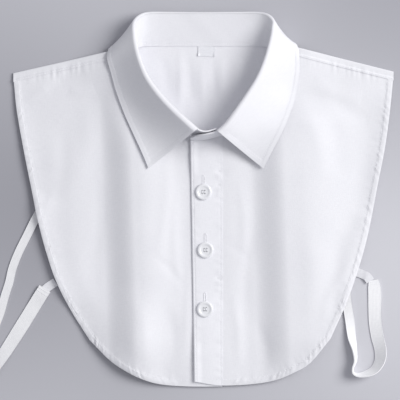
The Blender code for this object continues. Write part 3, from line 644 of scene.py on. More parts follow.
def feed(shader, socket, wire):
    """Link a wire to one of the shader's sockets."""
    wire.tree.links.new(wire.socket, shader.inputs[socket])


print("shader sums ready")

# %% [markdown]
# ## Cotton shirting
# The garment is plain-woven cotton. Its threads are a quarter of a millimetre apart, and some are thicker
# for a few millimetres, which gives the cloth its faint cross-hatched look. The weave is two sine waves at
# right angles, and the thick threads are noise that is stretched along each direction. An image texture
# would repeat, and this never does. The placket is several layers deep, and less light passes through it,
# so the same cloth is a little whiter there.

# %% The cotton finish
THREAD_PITCH_MM = 0.27
COTTON_COLOUR = (0.865, 0.865, 0.895, 1.0)
COTTON_SHADE = (0.800, 0.800, 0.838, 1.0)
PLACKET_WHITENESS = 1.06


def streaks(uv, along_scale, across_scale, turn, shift):
    """Noise stretched along one direction of the cloth, from 0 to 1."""
    turned = uv.node("ShaderNodeMapping", {}, {
        "Vector": uv, "Rotation": (0.0, 0.0, turn), "Location": (shift, shift * 0.7, 0.0)})
    placed = turned.node("ShaderNodeVectorMath", {"operation": "MULTIPLY"}, {
        0: turned, 1: (along_scale, across_scale, 1.0)})
    return placed.node("ShaderNodeTexNoise", {"noise_dimensions": "2D"}, {
        "Vector": placed, "Scale": 1.0, "Detail": 2.0, "Roughness": 0.55})


def cotton_finish(name, shift, weave_strength=0.5, whiteness=1.0):
    """Plain-woven white cotton on a UV map in metres."""
    shade = (*[tone * whiteness for tone in COTTON_SHADE[:3]], 1.0)
    light = (*[tone * whiteness for tone in COTTON_COLOUR[:3]], 1.0)
    material, shader, uv = new_finish(name, {
        "Roughness": 0.82, "Metallic": 0.0, "Specular IOR Level": 0.28,
        "Sheen Weight": 0.12, "Sheen Roughness": 0.45})
    parts = uv.tree.nodes.new("ShaderNodeSeparateXYZ")
    uv.tree.links.new(uv.socket, parts.inputs[0])
    turns = math.tau / (THREAD_PITCH_MM * MM)
    warp = (Wire(uv.tree, parts.outputs["X"]) * turns).wave()
    weft = (Wire(uv.tree, parts.outputs["Y"]) * turns).wave()
    weave = warp * weft
    thick_warp = streaks(uv, 1400.0, 210.0, 0.0, shift)
    thick_weft = streaks(uv, 1250.0, 190.0, math.pi / 2, shift + 3.1)
    thick = 0.5 * (thick_warp + thick_weft)
    cloudy = streaks(uv, 28.0, 34.0, 0.4, shift + 7.7)
    mask = thick * 1.6 + cloudy * 0.5 - 0.54
    colour = mask.node("ShaderNodeMix", {"data_type": "RGBA"}, {
        0: mask, 6: shade, 7: light}, output=2)
    height = weave * 0.06 + thick * 0.55
    bump = height.node("ShaderNodeBump", {}, {
        "Height": height, "Strength": weave_strength, "Distance": 0.00028})
    feed(shader, "Base Color", colour)
    feed(shader, "Roughness", 0.9 - thick * 0.16)
    feed(shader, "Normal", bump)
    return material


shirting = cotton_finish("cotton shirting", 0.0)
collar_cloth = cotton_finish("cotton collar", 11.0, 0.4)
placket_cloth = cotton_finish("cotton placket", 5.0, 0.5, PLACKET_WHITENESS)
print("finishes", shirting.name, collar_cloth.name, placket_cloth.name)

# %% [markdown]
# ## The back
# The back is one layer of cloth that lies on the table, cut a little inside the fronts. Most of it is
# hidden, but the opening of the neck shows its upper part. It is laid between its side lines, the neck and
# the hem as a Coons patch, which bends an even grid to four curved lines. A triangulated fill would give
# creases nothing even to bend.

# %% Lay an even grid between four lines, then make the back
def patch(left, right, top, bottom, rows, columns):
    """Places in plan between four lines. rows are fractions down; columns gives fractions for widths."""
    start, end = along(left, rows), along(right, rows)
    across = columns(np.linalg.norm(end - start, axis=1))
    above, below = along(top, across), along(bottom, across)
    s, t = across[:, :, None], np.asarray(rows)[:, None, None]
    corners = (left[0] * (1 - s) + right[0] * s) * (1 - t) + (left[-1] * (1 - s) + right[-1] * s) * t
    return start[:, None] * (1 - s) + end[:, None] * s + above * (1 - t) + below * t - corners


def even_columns(count):
    """The same even fractions for every row."""
    return lambda widths: np.tile(np.linspace(0.0, 1.0, count + 1), (len(widths), 1))


def lifted(places, height):
    """Places in plan with their height as the third number."""
    return np.concatenate([places, np.asarray(height)[:, :, None]], axis=2)


def outline_points(rows, inset=(0.0, 0.0)):
    """An outline table as points, moved by an inset."""
    return [(row.x + inset[0], row.y + inset[1]) for row in rows]


back_left = curve_through(outline_points(UNDER_SIDE, (BACK_INSET, 0.0)), 8)
back_right = curve_through(outline_points(OVER_SIDE, (-BACK_INSET, 0.0)), 8)
back_left[0, 1] = shoulder_y(back_left[0, 0]) - SHOULDER_RADIUS - GAP
back_right[0, 1] = shoulder_y(back_right[0, 0]) - SHOULDER_RADIUS - GAP
back_neck = curve_through([
    (-SHOULDER_NECK_X, float(shoulder_y(-SHOULDER_NECK_X)) - SHOULDER_RADIUS - GAP - 0.6),
    (-61.0, 145.0), (-50.0, 146.3), (0.0, 146.3), (50.0, 146.3), (61.5, 145.0),
    (SHOULDER_NECK_X, float(shoulder_y(SHOULDER_NECK_X)) - SHOULDER_RADIUS - GAP - 3.0)], 8)
back_top = np.vstack([back_left[:1], back_neck, back_right[:1]])
back_hem = outline_points(UNDER_HEM[1:-1], (0.0, BACK_INSET))
back_hem += outline_points(OVER_HEM[1:-1][::-1], (0.0, BACK_INSET))
back_bottom = curve_through([tuple(back_left[-1])] + back_hem + [tuple(back_right[-1])], 8)
back_places = patch(
    back_left, back_right, back_top, back_bottom, np.linspace(0.0, 1.0, 131), even_columns(170))
back_x, back_y = back_places[:, :, 0], back_places[:, :, 1]
back_fold = crease_height(back_x, back_y, BACK_CREASES)
back_middle = back_height(back_x, back_y) + np.maximum(back_fold, DEEPEST_CREASE) * smooth(back_y, 88, 104)
back_middle = back_middle + np.maximum(back_fold, 0.0) * 0.5 * (1.0 - smooth(back_y, 88, 104))
back_grid = lifted(back_places, back_middle)
back_lift = np.array([0.0, 0.0, SHELL / 2])
back = shell("back", back_grid + back_lift, back_grid - back_lift, plan_uv(back_grid), shirting)

# %% [markdown]
# ## The two fronts
# Each front has a narrow hem, turned twice and sewn, down its side and along its curved lower edge. The
# turned cloth is thicker and the sewing draws it up into small slanting puckers. The hem's step, its
# groove and its puckers are worked out from the distance to the edge, with more columns and rows where
# the hem is, so that they are real shape and not only a bump in the finish.

# %% Puckers, hems and the surface of a front
SEAM_UNDER = 1.4
EDGE_LIFT = 2.4
EDGE_LIFT_REACH = 11.0
SHOULDER_SEEDS = {-1: 51, 1: 57}
HEM_DISTANCES = np.array([0.0, 0.45, 1.1, 2.1, 3.2, 4.2, 4.9, 5.3, 5.7, 6.1, 6.6, 7.3, 8.4])


def hem_columns(count):
    """Fractions across a front, close together at the side hem."""
    def for_widths(widths):
        step = HEM_DISTANCES[None, :] / widths[:, None]
        rest = step[:, -1:] + (1.0 - step[:, -1:]) * np.linspace(0.0, 1.0, count + 1)[None, 1:]
        return np.concatenate([step, rest], axis=1)
    return for_widths


def hem_rows(corner, length, count_neck, count_centre):
    """Fractions down a front, with a row at the neckline's corner and rows close together at the hem."""
    upper = np.linspace(0.0, corner, count_neck + 1)
    lower = np.linspace(corner, 1.0 - HEM_DISTANCES[-1] / length, count_centre + 1)
    return np.concatenate([upper, lower[1:], 1.0 - HEM_DISTANCES[-2::-1] / length])


def hem_relief(x, y, edge, seed, fade_from):
    """The hem's step, groove and puckers at each place, faded out under the other front."""
    away, place = nearest(x, y, edge)
    step = 0.5 * (1.0 - smooth(away, HEM_SEWN_AT, HEM_SEWN_AT + 1.3))
    rolled = -0.32 * (1.0 - smooth(away, 0.0, 1.5))
    groove = -0.42 * np.exp(-((away - HEM_SEWN_AT) / 0.62) ** 2)
    slant = ripple(place + 0.9 * away, 5.2, seed) + 0.5 * ripple(place - 0.5 * away, 8.7, seed + 1)
    puckers = 0.46 * slant * np.exp(-((away - 3.4) / 3.3) ** 2)
    beyond = 0.16 * ripple(place, 9.5, seed + 2) * np.exp(-((away - 8.5) / 4.0) ** 2)
    shown = smooth(np.abs(x), fade_from, fade_from + 8.0)
    return (step + rolled + groove + puckers + beyond) * shown


def edge_lift(x, y, edge, seed, fade_from):
    """How far the hem curls up off the table, which is least on the slope at the wearer's lower right."""
    away, place = nearest(x, y, edge)
    uneven = 0.75 + 0.25 * np.sin(place / 31.0 + seed) * np.sin(place / 17.0 + 2.0 * seed)
    below_shoulder = smooth(place, 4.0, 40.0)
    shown = smooth(np.abs(x), fade_from, fade_from + 30.0)
    lies_flat = smooth(-x, 66.0, 96.0) * smooth(-y, 84.0, 108.0)
    curl = np.exp(-(away / EDGE_LIFT_REACH) ** 2) * (1.0 - 0.9 * lies_flat)
    return EDGE_LIFT * uneven * curl * below_shoulder * shown


def shoulder_pucker(x, away, sign):
    """Puckers beside a shoulder seam, fading out with the distance from it."""
    return 0.34 * ripple(x, 7.5, SHOULDER_SEEDS[sign]) * np.exp(-(away / 5.0) ** 2)


Front = namedtuple("Front", "places edge seam")


def front_places(side, hem, neckline, centre_x):
    """The grid of one front in plan, with its hemmed edge and its shoulder seam."""
    sign = -1 if side[0].x < 0 else 1
    drop = SHOULDER_TURN - SEAM_UNDER
    neck_x, tip_x = sign * (SHOULDER_NECK_X + 0.6), side[0].x - sign * 1.0
    neck = (neck_x, float(shoulder_y(neck_x)) - drop)
    tip = (tip_x, float(shoulder_y(side[0].x)) - drop)
    left = curve_through([tip] + outline_points(side[1:]), 8)
    top = curve_through([tip, neck], 16)
    bottom = curve_through(outline_points(hem), 8)
    neck_line = curve_through([neck] + neckline, 8)
    centre_y = np.linspace(neckline[-1][1], hem[-1].y, 40)
    centre = np.stack([centre_x(centre_y), centre_y], axis=1)
    neck_line[-1] = centre[0]
    right = np.vstack([neck_line, centre[1:]])
    corner = lengths(neck_line)[-1] / lengths(right)[-1]
    rows = hem_rows(corner, lengths(left)[-1], 66, 92)
    places = patch(left, right, top, bottom, rows, hem_columns(104))
    return Front(places, np.vstack([left, bottom[1:]]), top)


def front_surface(front, height, seed, fade_from):
    """Height of one front's middle at each of its places, with folds, creases, hem and puckers."""
    x, y = front.places[:, :, 0], front.places[:, :, 1]
    edge_away = nearest(x, y, front.edge)[0]
    middle = height(x, y) + crease_height(x, y, FRONT_CREASES) * smooth(edge_away, 2.0, 14.0)
    middle = middle + hem_relief(x, y, front.edge, seed, fade_from)
    middle = middle + edge_lift(x, y, front.edge, seed, fade_from)
    from_seam = np.maximum(nearest(x, y, front.seam)[0] - SEAM_UNDER, 0.0)
    middle = middle + shoulder_pucker(x, from_seam, -1 if x[0, 0] < 0 else 1)
    return middle


def front_piece(name, front, middle):
    """One front as a shell that is thicker at the hem. Returns the piece and its outer grid."""
    x, y = front.places[:, :, 0], front.places[:, :, 1]
    thick = SHELL + 0.55 * (1.0 - smooth(nearest(x, y, front.edge)[0], HEM_SEWN_AT, HEM_SEWN_AT + 1.2))
    grid = lifted(front.places, middle)
    outer = grid + np.stack([0 * thick, 0 * thick, np.full(thick.shape, SHELL / 2)], axis=2)
    inner = grid - np.stack([0 * thick, 0 * thick, thick - SHELL / 2], axis=2)
    return shell(name, outer, inner, plan_uv(grid), shirting), outer


under = front_places(
    UNDER_SIDE, UNDER_HEM, UNDER_NECKLINE[::-1] + [(UNDER_EDGE_X, 59.0)],
    lambda y: np.full(np.shape(y), UNDER_EDGE_X))
over = front_places(
    OVER_SIDE, OVER_HEM, OVER_NECKLINE, lambda y: placket_left(y) + PLACKET_SETBACK)
under_middle = front_surface(under, ground, 3, 22.0)
over_middle = front_surface(over, over_height, 17, 24.0)
front_under, under_top = front_piece("front_buttons_side", under, under_middle)
front_over, over_top = front_piece("front_lapping_side", over, over_middle)

# %% [markdown]
# ## The placket
# The edge of the lapping front is folded into a strip 30 mm wide, which carries the buttonholes. Two rows
# of sewing run down it, one close to its outer edge and one at its inner edge, and a third crosses its
# foot. Its outer edge is a fold, so it is round and stands off the cloth below, which throws the thin shadow
# down the front.

# %% The placket strip
PLACKET_WIDTH = 30.0
PLACKET_TOP_FACE = 0.3
PLACKET_LOW_FACE = 0.5
PLACKET_EDGE_SEAM = 1.9
PLACKET_INNER_SEAM = 1.4


def placket_relief(x, y, left):
    """Fold, sewn grooves and puckers across the placket."""
    from_edge, from_inner = x - left, PLACKET_INNER_X - x
    turned = -0.5 * (1.0 - smooth(from_edge, 0.0, 1.1))
    sewn = -0.3 * np.exp(-((from_edge - PLACKET_EDGE_SEAM) / 0.6) ** 2)
    sewn = sewn - 0.12 * np.exp(-((from_inner - PLACKET_INNER_SEAM) / 0.9) ** 2)
    swell = 0.16 * ripple(-y, 11.0, 31) * np.exp(-((from_edge - 3.6) / 2.6) ** 2)
    swell = swell + 0.36 * ripple(-y, 11.0, 37) * np.exp(-((from_inner - 3.0) / 3.2) ** 2)
    drawn = 0.26 * ripple(-y + 0.4 * x, 21.0, 41) * smooth(from_edge, 2.0, 8.0)
    sunk = -(PLACKET_LAYER - 0.27) * smooth(from_edge, 6.0, 26.0)
    near_ends = smooth(y, 14.0, 46.0) + 1.0 - smooth(y, -152.0, -110.0)
    lifted_edge = 1.5 * near_ends * (1.0 - smooth(from_edge, 0.0, 8.0))
    return turned + sewn + swell + drawn * smooth(from_inner, 2.0, 8.0) + sunk + lifted_edge


placket_top_line = curve_through([(row.seam_x, row.seam_y) for row in COLLAR[LAST - 4:]], 8)
placket_bottom_line = curve_through(outline_points(OVER_HEM), 8)


def line_y(line, x):
    """The y of a line in plan at x."""
    order = np.argsort(line[:, 0])
    return np.interp(x, line[order, 0], line[order, 1])


placket_s = np.concatenate([
    np.array([0.0, 0.25, 0.6, 1.0, 1.4, 1.7, 1.9, 2.1, 2.5, 3.1]) / PLACKET_WIDTH,
    np.linspace(4.0, 25.5, 18) / PLACKET_WIDTH,
    1.0 - np.array([3.6, 2.8, 2.3, 1.9, 1.6, 1.4, 1.1, 0.7, 0.3, 0.0]) / PLACKET_WIDTH])
placket_rows = []
for t in np.linspace(0.0, 1.0, 191):
    top_x = PLACKET_EDGE[0].x + (PLACKET_INNER_X - PLACKET_EDGE[0].x) * placket_s
    low_x = PLACKET_EDGE[-1].x + (PLACKET_INNER_X - PLACKET_EDGE[-1].x) * placket_s
    high_y, low_y = line_y(placket_top_line, top_x), line_y(placket_bottom_line, low_x)
    row_y = high_y + (low_y - high_y) * t
    row_left = placket_left(row_y)
    placket_rows.append(np.stack([row_left + (PLACKET_INNER_X - row_left) * placket_s, row_y], axis=1))
placket_places = np.stack(placket_rows)
placket_x, placket_y = placket_places[:, :, 0], placket_places[:, :, 1]
placket_middle = placket_height(placket_x, placket_y)
placket_middle = placket_middle + crease_height(placket_x, placket_y, FRONT_CREASES)
placket_middle = placket_middle + placket_relief(placket_x, placket_y, placket_left(placket_y))
placket_grid = lifted(placket_places, placket_middle)
placket_top = placket_grid + [0, 0, PLACKET_TOP_FACE]
placket_low = placket_grid - [0, 0, PLACKET_LOW_FACE]
placket = shell("placket_strip", placket_top, placket_low, plan_uv(placket_grid), placket_cloth)

# %% [markdown]
# ## Over the shoulders
# The back's cloth comes over each shoulder fold and is sewn to the front a finger's width below it. So
# each shoulder is a narrow strip that turns round the fold. It is swept along the fold line from a short
# path of how far it has come inwards and how high it is.

# %% The two shoulder turns
def shoulder_turn(name, sign):
    """The cloth over one shoulder, round the fold to the front's seam. Returns the piece and its grid."""
    reach = np.linspace(0.0, 1.0, 84)[:, None]
    tip_x = sign * (abs(SHOULDERS[sign]["tip"][0]) - 0.6)
    x = tip_x + (sign * SHOULDER_NECK_X - tip_x) * reach
    fold_y = shoulder_y(x)
    low = back_height(x, fold_y - SHOULDER_RADIUS)
    high = ground(x, fold_y - SHOULDER_RADIUS)
    inward = [SHOULDER_RADIUS + 0.2, 0.8, 0.25, 0.0, 0.25, 0.8, SHOULDER_RADIUS]
    rise = [0.0, 0.0, 0.16, 0.5, 0.84, 1.0, 1.0]
    onward = np.linspace(2.6, SHOULDER_TURN, 14)
    rows_y = [fold_y - i for i in inward] + [fold_y - i for i in onward]
    rows_z = [low + (high - low) * r for r in rise]
    for i in onward:
        from_seam = SHOULDER_TURN - i
        ridge = 0.62 * (1.0 - float(smooth(from_seam, 1.8, 3.4)))
        groove = 0.22 * math.exp(-((from_seam - 2.6) / 0.7) ** 2)
        rows_z.append(ground(x, fold_y - i) + shoulder_pucker(x, from_seam, sign) + ridge - groove)
    rows = [np.stack([x[:, 0], row_y[:, 0], row_z[:, 0]], axis=1) for row_y, row_z in zip(rows_y, rows_z)]
    grid = np.stack(rows, axis=1)
    return shell_on_middle(name, grid, SHELL, shirting), grid


shoulder_left, shoulder_left_grid = shoulder_turn("shoulder_left", -1)
shoulder_right, shoulder_right_grid = shoulder_turn("shoulder_right", 1)

# %% [markdown]
# ## The collar
# A shirt collar is two pieces. The stand is a stiffened band that is sewn to the neckline and buttons at
# the front, and the leaf is sewn to its upper edge and turned down over it. Both are lofted through the
# same sections round the neck, so that the leaf rolls over the stand with an even gap all the way.

# %% Sections of the collar
COLLAR_STEPS = [12] * 2 + [22] + [9] * (LAST - 6) + [22] + [14] * 2


def surface_below(row, x, y):
    """Middle of the cloth that a collar section stands on."""
    if row <= TURN_UNDER:
        return float(ground(np.array([x]), np.array([y]))[0])
    if x < PLACKET_INNER_X + 9.0:
        return float(placket_height(np.array([x]), np.array([y]))[0])
    return float(over_height(np.array([x]), np.array([y]))[0])


seams, folds, edges, shapes = [], [], [], []
for i, row in enumerate(COLLAR):
    seam_z = row.seam_z
    if seam_z is None:
        seam_z = surface_below(i, row.seam_x, row.seam_y) + STAND_SEAT
    seams.append((row.seam_x, row.seam_y, seam_z))
    folds.append((row.fold_x, row.fold_y, row.fold_z))
    if row.edge_x is not BARE:
        edge_z = row.edge_z
        if edge_z is None:
            top = ground if row.edge_x < 0 else over_height
            edge_z = float(top(np.array([row.edge_x]), np.array([row.edge_y]))[0]) + LEAF_HOVER + LEAF_SEAT
        edges.append((row.edge_x, row.edge_y, edge_z))
        shapes.append((row.belly, row.settle, row.roll))
leaf_first = next(i for i, row in enumerate(COLLAR) if row.edge_x is not BARE)
leaf_last = leaf_first + len(edges) - 1
seam_line = curve_through(seams, COLLAR_STEPS)
fold_line = curve_through(folds, COLLAR_STEPS)
leaf_steps = COLLAR_STEPS[leaf_first:leaf_last]
leaf_start = sum(COLLAR_STEPS[:leaf_first])
leaf_end = leaf_start + sum(leaf_steps)
print("collar seam", round(lengths(seam_line)[-1]), "mm, fold", round(lengths(fold_line)[-1]), "mm")

# %% [markdown]
# ## The stand
# The stand goes straight from the neck seam to the fold. Sewing draws small puckers along its lower edge,
# and its front end is rounded. It is stiff, so the rest of its surface has only the faintest waves.

# %% The collar stand
STAND_HEIGHT = 30.0
STAND_SEAM_AT = 2.6

stand_s = np.concatenate([[0.0, 0.03], np.linspace(0.07, 0.93, 20), [0.97, 1.0]])
stand_step = np.arange(len(fold_line))[:, None]
under_leaf = smooth(stand_step, leaf_start - 6, leaf_start) * (1 - smooth(stand_step, leaf_end, leaf_end + 6))
stand_rise = fold_line - seam_line
rise_length = np.linalg.norm(stand_rise, axis=1)[:, None]
stand_rise = stand_rise * (1.0 + (ROLL_CLEARANCE - 0.1) * under_leaf / rise_length)
stand_grid = seam_line[:, None] + stand_rise[:, None] * stand_s[None, :, None]
stand_along = lengths(seam_line)[:, None] + 0 * stand_s[None, :]
stand_up = stand_s[None, :] * STAND_HEIGHT
stand_wave = 0.22 * ripple(stand_along, 8.0, 61) * np.exp(-((stand_up - 2.5) / 3.0) ** 2)
stand_wave = stand_wave - 0.25 * np.exp(-((stand_up - STAND_SEAM_AT) / 0.8) ** 2)
stand_wave = stand_wave + 0.10 * ripple(stand_along + stand_up, 34.0, 67)
stand_grid = stand_grid + grid_normals(stand_grid) * stand_wave[:, :, None]
stand = shell_on_middle("stand", stand_grid, STAND_THICK, collar_cloth)

# %% [markdown]
# ## The leaf
# Each section of the leaf is an arc over the stand's upper edge and then a fall to the free edge, which is
# straight but for a slight belly. The leaf is two layers turned inside out, so for 5 mm from its edge it
# is thicker, up to the row of sewing. Along that row is a groove with fine puckers. At the back the leaf
# tucks in under the stand, because there the collar has been laid flat.

# %% The collar leaf
ROLL_POINTS = 16
FALL_SHARES = np.concatenate([np.linspace(0.0, 0.78, 20)[1:], np.linspace(0.8, 1.0, 14)])
FALL_SQUARENESS = 15.0
TOPSTITCH_AT = 4.9


def unit(vector):
    """The vector at length 1."""
    return vector / max(np.linalg.norm(vector), 1e-9)


def leaf_section(seam, fold, edge, belly, settle, roll, heading):
    """One section of the leaf: round over the stand's top, then down to its free edge."""
    up = unit(fold - seam)
    start = fold + up * ROLL_CLEARANCE
    fall = edge - start
    side = fall - up * fall.dot(up) + unit(np.cross(up, heading)) * FALL_SQUARENESS
    side = unit(side - up * side.dot(up))
    centre = start + side * roll
    reach = edge - centre
    rise, out = reach.dot(up), reach.dot(side)
    leave = math.atan2(out, rise) % math.tau + math.asin(roll / math.hypot(rise, out))
    angles = np.linspace(0.0, leave, ROLL_POINTS + 1)[:, None]
    arc = centre - side * roll * np.cos(angles) + up * roll * np.sin(angles)
    outward = up * math.sin(leave) - side * math.cos(leave)
    t = FALL_SHARES[:, None]
    drop = arc[-1] * (1 - t) + edge * t + outward * belly * np.sin(math.pi * t)
    drop[:, 2] += (arc[-1][2] - edge[2]) * ((1.0 - FALL_SHARES) ** settle - (1.0 - FALL_SHARES))
    return np.vstack([arc, drop])


edge_line = curve_through(edges, leaf_steps)
shape_line = curve_through(shapes, leaf_steps)
leaf_seam = curve_through(seams[leaf_first:leaf_last + 1], leaf_steps)
leaf_fold = curve_through(folds[leaf_first:leaf_last + 1], leaf_steps)
headings = np.gradient(leaf_fold, axis=0)
leaf_grid = np.stack([
    leaf_section(*section) for section in zip(
        leaf_seam, leaf_fold, edge_line, *shape_line.T, headings)])
leaf_uv = flat_lengths(leaf_grid) / MM
to_free_edge = leaf_uv[:, -1:, 0] - leaf_uv[:, :, 0]
down_rows = leaf_uv[:, :, 1]
to_end = np.minimum(down_rows, down_rows[-1:, :] - down_rows)
to_edge = np.minimum(to_free_edge, to_end)
leaf_along = lengths(edge_line)[:, None] + 0 * to_edge
leaf_wave = 0.26 * (1.0 - smooth(to_edge, TOPSTITCH_AT - 0.4, TOPSTITCH_AT + 1.4))
leaf_wave = leaf_wave - 0.3 * np.exp(-((to_edge - TOPSTITCH_AT) / 0.6) ** 2)
leaf_wave = leaf_wave + 0.13 * ripple(leaf_along + to_end, 7.0, 71) * np.exp(-((to_edge - 4.5) / 3.6) ** 2)
leaf_wave = leaf_wave + 0.22 * ripple(leaf_along + 0.6 * to_free_edge, 52.0, 73) * smooth(to_free_edge, 2, 16)
leaf_outward = grid_normals(leaf_grid)
leaf_grid = leaf_grid + leaf_outward * (leaf_wave * smooth(leaf_uv[:, :, 0], 6.0, 16.0))[:, :, None]
leaf = shell_on_middle("leaf", leaf_grid, LEAF_THICK, collar_cloth)

# %% [markdown]
# ## The size label
# A narrow woven tape is folded and caught in the seam at the back of the neck. It is bare. It has a soft
# satin sheen and lies on the back's cloth, a little askew, with its lower corners just lifted.

# %% The bare woven label
LABEL_SIZE = (16.0, 9.6)
LABEL_THICK = 0.4
LABEL_CENTRE = (2.9, 140.4)
LABEL_TURN = math.radians(-2.0)


def satin_finish():
    """Close-set polyester satin, woven in fine ribs across the tape."""
    material, shader, uv = new_finish("label satin", {
        "Roughness": 0.42, "Metallic": 0.0, "Specular IOR Level": 0.5, "Sheen Weight": 0.2})
    parts = uv.tree.nodes.new("ShaderNodeSeparateXYZ")
    uv.tree.links.new(uv.socket, parts.inputs[0])
    ribs = (Wire(uv.tree, parts.outputs["Y"]) * (math.tau / 0.00042)).wave()
    floats = (Wire(uv.tree, parts.outputs["X"]) * (math.tau / 0.0008)).wave()
    uneven = streaks(uv, 420.0, 900.0, 0.0, 5.0)
    colour = uneven.node("ShaderNodeMix", {"data_type": "RGBA"}, {
        0: uneven, 6: (0.78, 0.79, 0.83, 1.0), 7: (0.90, 0.90, 0.93, 1.0)}, output=2)
    height = ribs * 0.5 + floats * 0.2
    bump = height.node("ShaderNodeBump", {}, {"Height": height, "Strength": 0.5, "Distance": 0.0001})
    feed(shader, "Base Color", colour)
    feed(shader, "Roughness", 0.5 - uneven * 0.15)
    feed(shader, "Normal", bump)
    return material


satin = satin_finish()
label_s, label_t = np.meshgrid(np.linspace(-0.5, 0.5, 41), np.linspace(0.5, -0.5, 25))
label_x = LABEL_CENTRE[0] + label_s * LABEL_SIZE[0] * math.cos(LABEL_TURN)
label_x = label_x - label_t * LABEL_SIZE[1] * math.sin(LABEL_TURN)
label_y = LABEL_CENTRE[1] + label_s * LABEL_SIZE[0] * math.sin(LABEL_TURN)
label_y = label_y + label_t * LABEL_SIZE[1] * math.cos(LABEL_TURN)
label_fold = np.maximum(crease_height(label_x, label_y, BACK_CREASES), DEEPEST_CREASE)
label_z = back_height(label_x, label_y) + label_fold
corner_lift = 0.7 * smooth(np.abs(label_s), 0.36, 0.5) * smooth(-label_t, -0.1, 0.5)
selvedge = 0.09 * smooth(np.abs(label_s), 0.455, 0.47)
label_grid = np.stack([label_x, label_y, label_z + SHELL / 2 + 0.33 + corner_lift + selvedge], axis=2)
label = shell_on_middle("neck_label", label_grid, LABEL_THICK, satin)

# %% [markdown]
# ## Buttons
# The buttons are four-hole shirt buttons, 15 mm across, cast in resin that looks like shell. A profile is
# turned round the centre, and the four holes are cut through it. Cutting with a boolean gives true holes,
# which a bump would not.

# %% Turn and drill a button
BUTTON_RADIUS = 7.6
BUTTON_PLACES = [(0.0, 7.1), (1.9, -48.0), (1.4, -104.0)]
BUTTON_HOLE_RADIUS = 0.85
BUTTON_HOLE_REACH = 1.6
BUTTON_STEPS = 72
BUTTON_SEAT = 0.5
BUTTON_PROFILE = [
    (0.0, 1.3), (3.0, 1.27), (4.1, 1.3), (4.7, 1.44), (5.1, 1.66), (5.5, 1.84), (6.1, 1.95), (6.7, 1.92),
    (7.2, 1.72), (7.5, 1.45), (BUTTON_RADIUS, 1.15), (7.4, 0.8), (6.7, 0.45), (5.4, 0.15), (0.0, 0.1)]


def resin_finish():
    """Pale resin with the faint swirls of shell and a clear gloss."""
    material, shader, uv = new_finish("button resin", {
        "Metallic": 0.0, "Specular IOR Level": 0.5, "Coat Weight": 0.5, "Coat Roughness": 0.12})
    place = uv.node("ShaderNodeTexCoord", output="Object")
    swirl = place.node("ShaderNodeTexNoise", {}, {
        "Vector": place, "Scale": 230.0, "Detail": 3.0, "Roughness": 0.6, "Distortion": 1.8})
    colour = swirl.node("ShaderNodeMix", {"data_type": "RGBA"}, {
        0: swirl, 6: (0.80, 0.81, 0.84, 1.0), 7: (0.92, 0.92, 0.94, 1.0)}, output=2)
    bump = swirl.node("ShaderNodeBump", {}, {"Height": swirl, "Strength": 0.15, "Distance": 0.0001})
    feed(shader, "Base Color", colour)
    feed(shader, "Roughness", 0.22 + swirl * 0.14)
    feed(shader, "Normal", bump)
    return material


def turned(profile, steps):
    """Points and faces of a closed profile turned round +Z, with single points at its two poles."""
    angles = np.arange(steps) * math.tau / steps
    points = [(0.0, 0.0, profile[0][1])]
    for radius, height in profile[1:-1]:
        points += [(radius * math.cos(a), radius * math.sin(a), height) for a in angles]
    points.append((0.0, 0.0, profile[-1][1]))
    rings = len(profile) - 2
    faces = []
    for i in range(steps):
        after = (i + 1) % steps
        faces.append((0, 1 + i, 1 + after))
        for ring in range(rings - 1):
            low = 1 + ring * steps
            faces.append((low + i, low + steps + i, low + steps + after, low + after))
        last = 1 + (rings - 1) * steps
        faces.append((last + i, len(points) - 1, last + after))
    return np.array(points), faces


def button_mesh():
    """One button round the origin, in metres, with its four holes cut."""
    points, faces = turned(BUTTON_PROFILE, BUTTON_STEPS)
    mesh = bpy.data.meshes.new("button blank")
    mesh.from_pydata((points * MM).tolist(), [], faces)
    blank = bpy.data.objects.new("button blank", mesh)
    bpy.context.scene.collection.objects.link(blank)
    cutters = []
    for turn in (45, 135, 225, 315):
        bit = [(0.0, 5.0), (BUTTON_HOLE_RADIUS, 5.0), (BUTTON_HOLE_RADIUS, -3.0), (0.0, -3.0)]
        ring, sides = turned(bit, 20)
        angle = math.radians(turn)
        ring = ring + np.array([math.cos(angle), math.sin(angle), 0.0]) * BUTTON_HOLE_REACH
        drill_mesh = bpy.data.meshes.new("drill")
        drill_mesh.from_pydata((ring * MM).tolist(), [], sides)
        drill = bpy.data.objects.new("drill", drill_mesh)
        bpy.context.scene.collection.objects.link(drill)
        cut = blank.modifiers.new("hole", "BOOLEAN")
        cut.operation = "DIFFERENCE"
        cut.object = drill
        cut.solver = "EXACT"
        cutters.append(drill)
    seen = blank.evaluated_get(bpy.context.evaluated_depsgraph_get())
    done = bpy.data.meshes.new_from_object(seen)
    for used in cutters + [blank]:
        bpy.data.objects.remove(used)
    work = bmesh.new()
    work.from_mesh(done)
    bmesh.ops.remove_doubles(work, verts=work.verts, dist=1e-7)
    bmesh.ops.recalc_face_normals(work, faces=work.faces)
    work.to_mesh(done)
    work.free()
    return done


resin = resin_finish()
button_shape = button_mesh()
buttons = []
button_heights = []
for number, (x, y) in enumerate(BUTTON_PLACES, start=1):
    base = float(placket_height(np.array([x]), np.array([y]))[0]) + BUTTON_SEAT
    mesh = button_shape.copy()
    mesh.transform(Matrix.Translation((x * MM, y * MM, base * MM)))
    mesh.shade_smooth()
    mesh.set_sharp_from_angle(angle=math.radians(38))
    mesh.materials.clear()
    mesh.materials.append(resin)
    piece = bpy.data.objects.new(f"shirt_button_{number}", mesh)
    bpy.context.scene.collection.objects.link(piece)
    buttons.append(piece)
    button_heights.append(base)
print("buttons", len(buttons), "faces each", len(button_shape.polygons))

